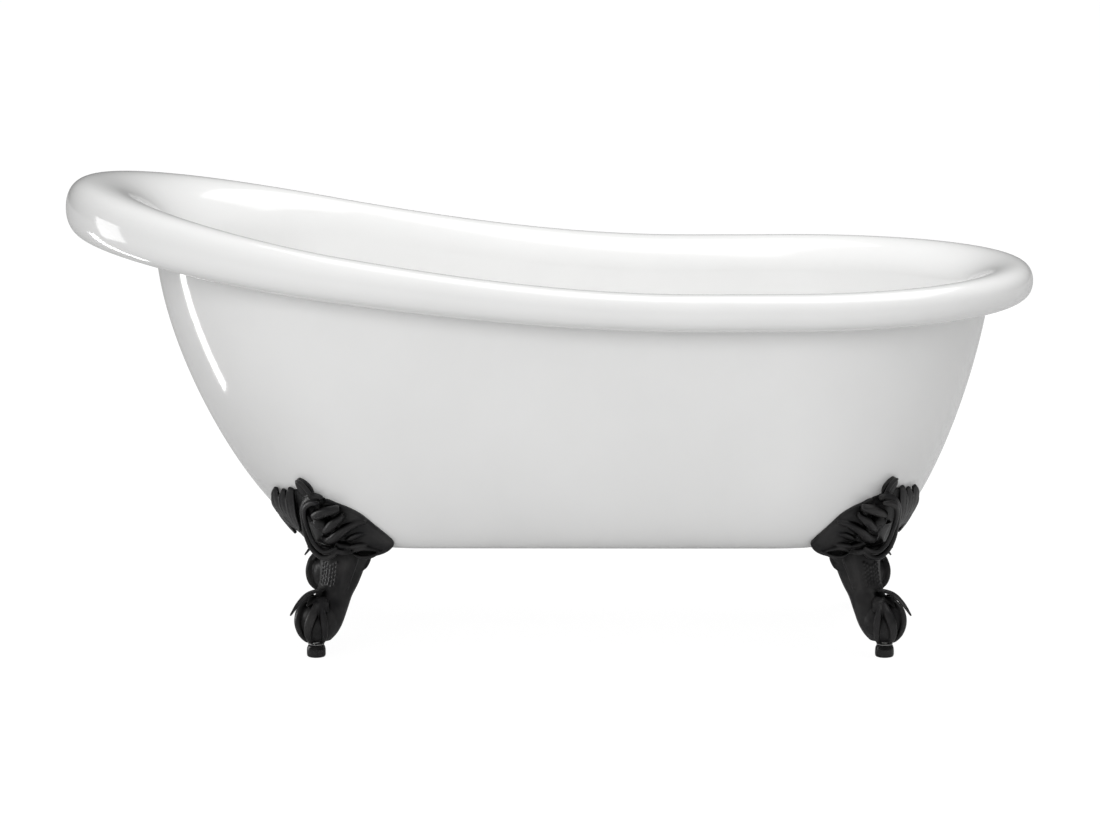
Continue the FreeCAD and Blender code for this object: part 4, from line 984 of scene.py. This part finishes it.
FINISHES = {
    "white_acrylic": finish("white_acrylic", ((0.86, 0.86, 0.855), (0.89, 0.89, 0.885)), 5,
                            (0.08, 0.13), (40, 0.05), coat=0.2),
    # The cast feet get painted shade, down to 3% of their colour in the deepest creases.
    "black_casting": finish("black_enamel", ((0.012, 0.012, 0.013), (0.034, 0.033, 0.033)), 28,
                            (0.28, 0.42), (220, 0.12), specular=0.22, fold_shade_share=0.03),
    "black_rubber": finish("black_nylon", ((0.006, 0.006, 0.006), (0.014, 0.014, 0.014)), 60,
                           (0.2, 0.34), (500, 0.03)),
    "steel": finish("zinc_plate", ((0.56, 0.57, 0.58), (0.72, 0.71, 0.68)), 90,
                    (0.22, 0.4), (900, 0.01), metallic=1.0),
    "chrome": finish("chrome_plate", ((0.80, 0.81, 0.82), (0.86, 0.87, 0.88)), 22,
                     (0.03, 0.09), (120, 0.008), metallic=1.0),
    "brass": finish("machined_brass", ((0.62, 0.45, 0.20), (0.78, 0.60, 0.30)), 40,
                    (0.22, 0.38), (700, 0.02), metallic=1.0, stretch=(1, 1, 14)),
    "board": finish("resin_coated_board", ((0.33, 0.22, 0.12), (0.60, 0.45, 0.28)), 130,
                    (0.4, 0.65), (260, 0.3), stretch=(1, 2.2, 1)),
    "resin": finish("bonding_resin", ((0.62, 0.59, 0.48), (0.78, 0.76, 0.68)), 45,
                    (0.25, 0.5), (180, 0.2)),
    "seal_rubber": finish("seal_rubber", ((0.012, 0.012, 0.012), (0.03, 0.03, 0.03)), 110,
                          (0.5, 0.7), (800, 0.03)),
    "fitting_plastic": finish("moulded_plastic", ((0.70, 0.70, 0.68), (0.80, 0.80, 0.78)), 35,
                              (0.3, 0.42), (1200, 0.015)),
}


def dress(piece, slot):
    piece.data.materials.clear()
    piece.data.materials.append(FINISHES[slot])


def place_piece(piece, body, node, slot):
    """The piece stands in for a node of the construction and moves with its body."""
    dress(piece, slot)
    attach(piece, body)
    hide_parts(node)


for entry in frame["record"]["subparts"]:
    dress(frame["nodes"][entry["node"]], entry["material_slot"])
place_piece(liner, "bath", "bath_liner", "white_acrylic")
place_piece(skin, "bath", "outer_skin", "white_acrylic")
for name, obj in feet.items():
    place_piece(obj, "bath", "claw_foot_" + name, "black_casting")
for obj, (body, node, slot) in make_levellers().items():
    place_piece(obj, body, node, slot)
stem = mesh_object("plug_stem_turned", lathe(STEM, WASTE_AT))
place_piece(stem, "plug", "plug_stem", "brass")


# ---------------------------------------------------------------- floor, light and camera

CAMERA_DISTANCE = 8.0
CAMERA_HEIGHT = 1.765
CAMERA_PITCH = 0.174
FOCAL_PIXELS = 5030.0
FRAME_WIDTH = 1100.0
SENSOR = 36.0
FARTHEST = 60

FLOOR_HALF = 15000
FLOOR_COLOUR = (0.6, 0.6, 0.6, 1)
# To the camera the floor is this share of an even glow. The rest is paint, which shows the shade.
FLOOR_EVEN = 0.8
FLOOR_GLOW = 1.18
WORLD_LIGHT = 0.62
WORLD_MIRRORED = 0.05
WORLD_SEEN = 1.0

# Lamps: name, place, target, width and height, power, whether they light and whether they are mirrored.
LAMPS = [("key", (-1.8, -4.8, 2.6), (0, 0, 0.4), (3.2, 2.4), 92, True, False),
         ("top", (1.1, 0.3, 3.2), (0.2, 0, 0.4), (3.4, 2.4), 50, True, True),
         ("strip", (-1.22, 0.18, 0.17), (-0.53, -0.18, 0.48), (0.085, 0.62), 2.2, False, True),
         ("panel", (-1.75, 0.0, 0.6), (-0.69, -0.22, 0.66), (0.4, 0.56), 2.6, False, True)]


def make_camera():
    data = bpy.data.cameras.new("camera")
    data.sensor_width = SENSOR
    data.lens = FOCAL_PIXELS / FRAME_WIDTH * SENSOR
    data.clip_end = FARTHEST
    camera = bpy.data.objects.new("camera", data)
    camera.location = (0, -CAMERA_DISTANCE, CAMERA_HEIGHT)
    camera.rotation_euler = (math.pi / 2 - CAMERA_PITCH, 0, 0)
    bpy.context.scene.collection.objects.link(camera)
    bpy.context.scene.camera = camera


def area_light(name, place, target, size, power, lights, mirrored):
    data = bpy.data.lights.new(name, "AREA")
    data.shape = "RECTANGLE"
    data.size, data.size_y = size
    data.energy = power
    lamp = bpy.data.objects.new(name, data)
    lamp.location = place
    lamp.rotation_euler = (Vector(target) - Vector(place)).to_track_quat("-Z", "Y").to_euler()
    lamp.visible_camera = False
    lamp.visible_diffuse = lights
    lamp.visible_glossy = mirrored
    bpy.context.scene.collection.objects.link(lamp)


def floor_paint():
    """Pale floor: the camera sees mostly the studio's even white, with a soft shade under the feet."""
    mat = bpy.data.materials.new("floor_paint")
    mat.use_nodes = True
    nodes, links = mat.node_tree.nodes, mat.node_tree.links
    shader = nodes["Principled BSDF"]
    shader.inputs["Base Color"].default_value = FLOOR_COLOUR
    shader.inputs["Roughness"].default_value = 0.8
    shader.inputs["Specular IOR Level"].default_value = 0.1
    glow = added(nodes, "Emission", Color=(1, 1, 1, 1), Strength=FLOOR_GLOW)
    path = added(nodes, "LightPath")
    share = added(nodes, "Math")
    share.operation = "MULTIPLY"
    share.inputs[1].default_value = FLOOR_EVEN
    links.new(path.outputs["Is Camera Ray"], share.inputs[0])
    blend = added(nodes, "MixShader")
    links.new(share.outputs["Value"], blend.inputs["Fac"])
    links.new(shader.outputs["BSDF"], blend.inputs[1])
    links.new(glow.outputs["Emission"], blend.inputs[2])
    links.new(blend.outputs["Shader"], nodes["Material Output"].inputs["Surface"])
    return mat


def studio_world():
    """White to the camera, grey for the light it gives, darker in reflections."""
    world = bpy.data.worlds.new("studio")
    world.use_nodes = True
    nodes, links = world.node_tree.nodes, world.node_tree.links
    path = added(nodes, "LightPath")
    shade = nodes["Background"]
    shade.inputs["Color"].default_value = (WORLD_LIGHT, WORLD_LIGHT, WORLD_LIGHT, 1)
    found = shade.outputs["Background"]
    for ray, white in (("Is Glossy Ray", WORLD_MIRRORED), ("Is Camera Ray", WORLD_SEEN)):
        other = added(nodes, "Background", Color=(white, white, white, 1))
        blend = added(nodes, "MixShader")
        links.new(path.outputs[ray], blend.inputs["Fac"])
        links.new(found, blend.inputs[1])
        links.new(other.outputs["Background"], blend.inputs[2])
        found = blend.outputs["Shader"]
    links.new(found, nodes["World Output"].inputs["Surface"])
    bpy.context.scene.world = world


def make_stage():
    bm = bmesh.new()
    bmesh.ops.create_grid(bm, x_segments=1, y_segments=1, size=FLOOR_HALF)
    floor = mesh_object("floor", bm)
    floor.data.materials.append(floor_paint())
    studio_world()
    for lamp in LAMPS:
        area_light(*lamp)


bpy.context.scene.view_settings.view_transform = "Standard"
make_camera()
make_stage()
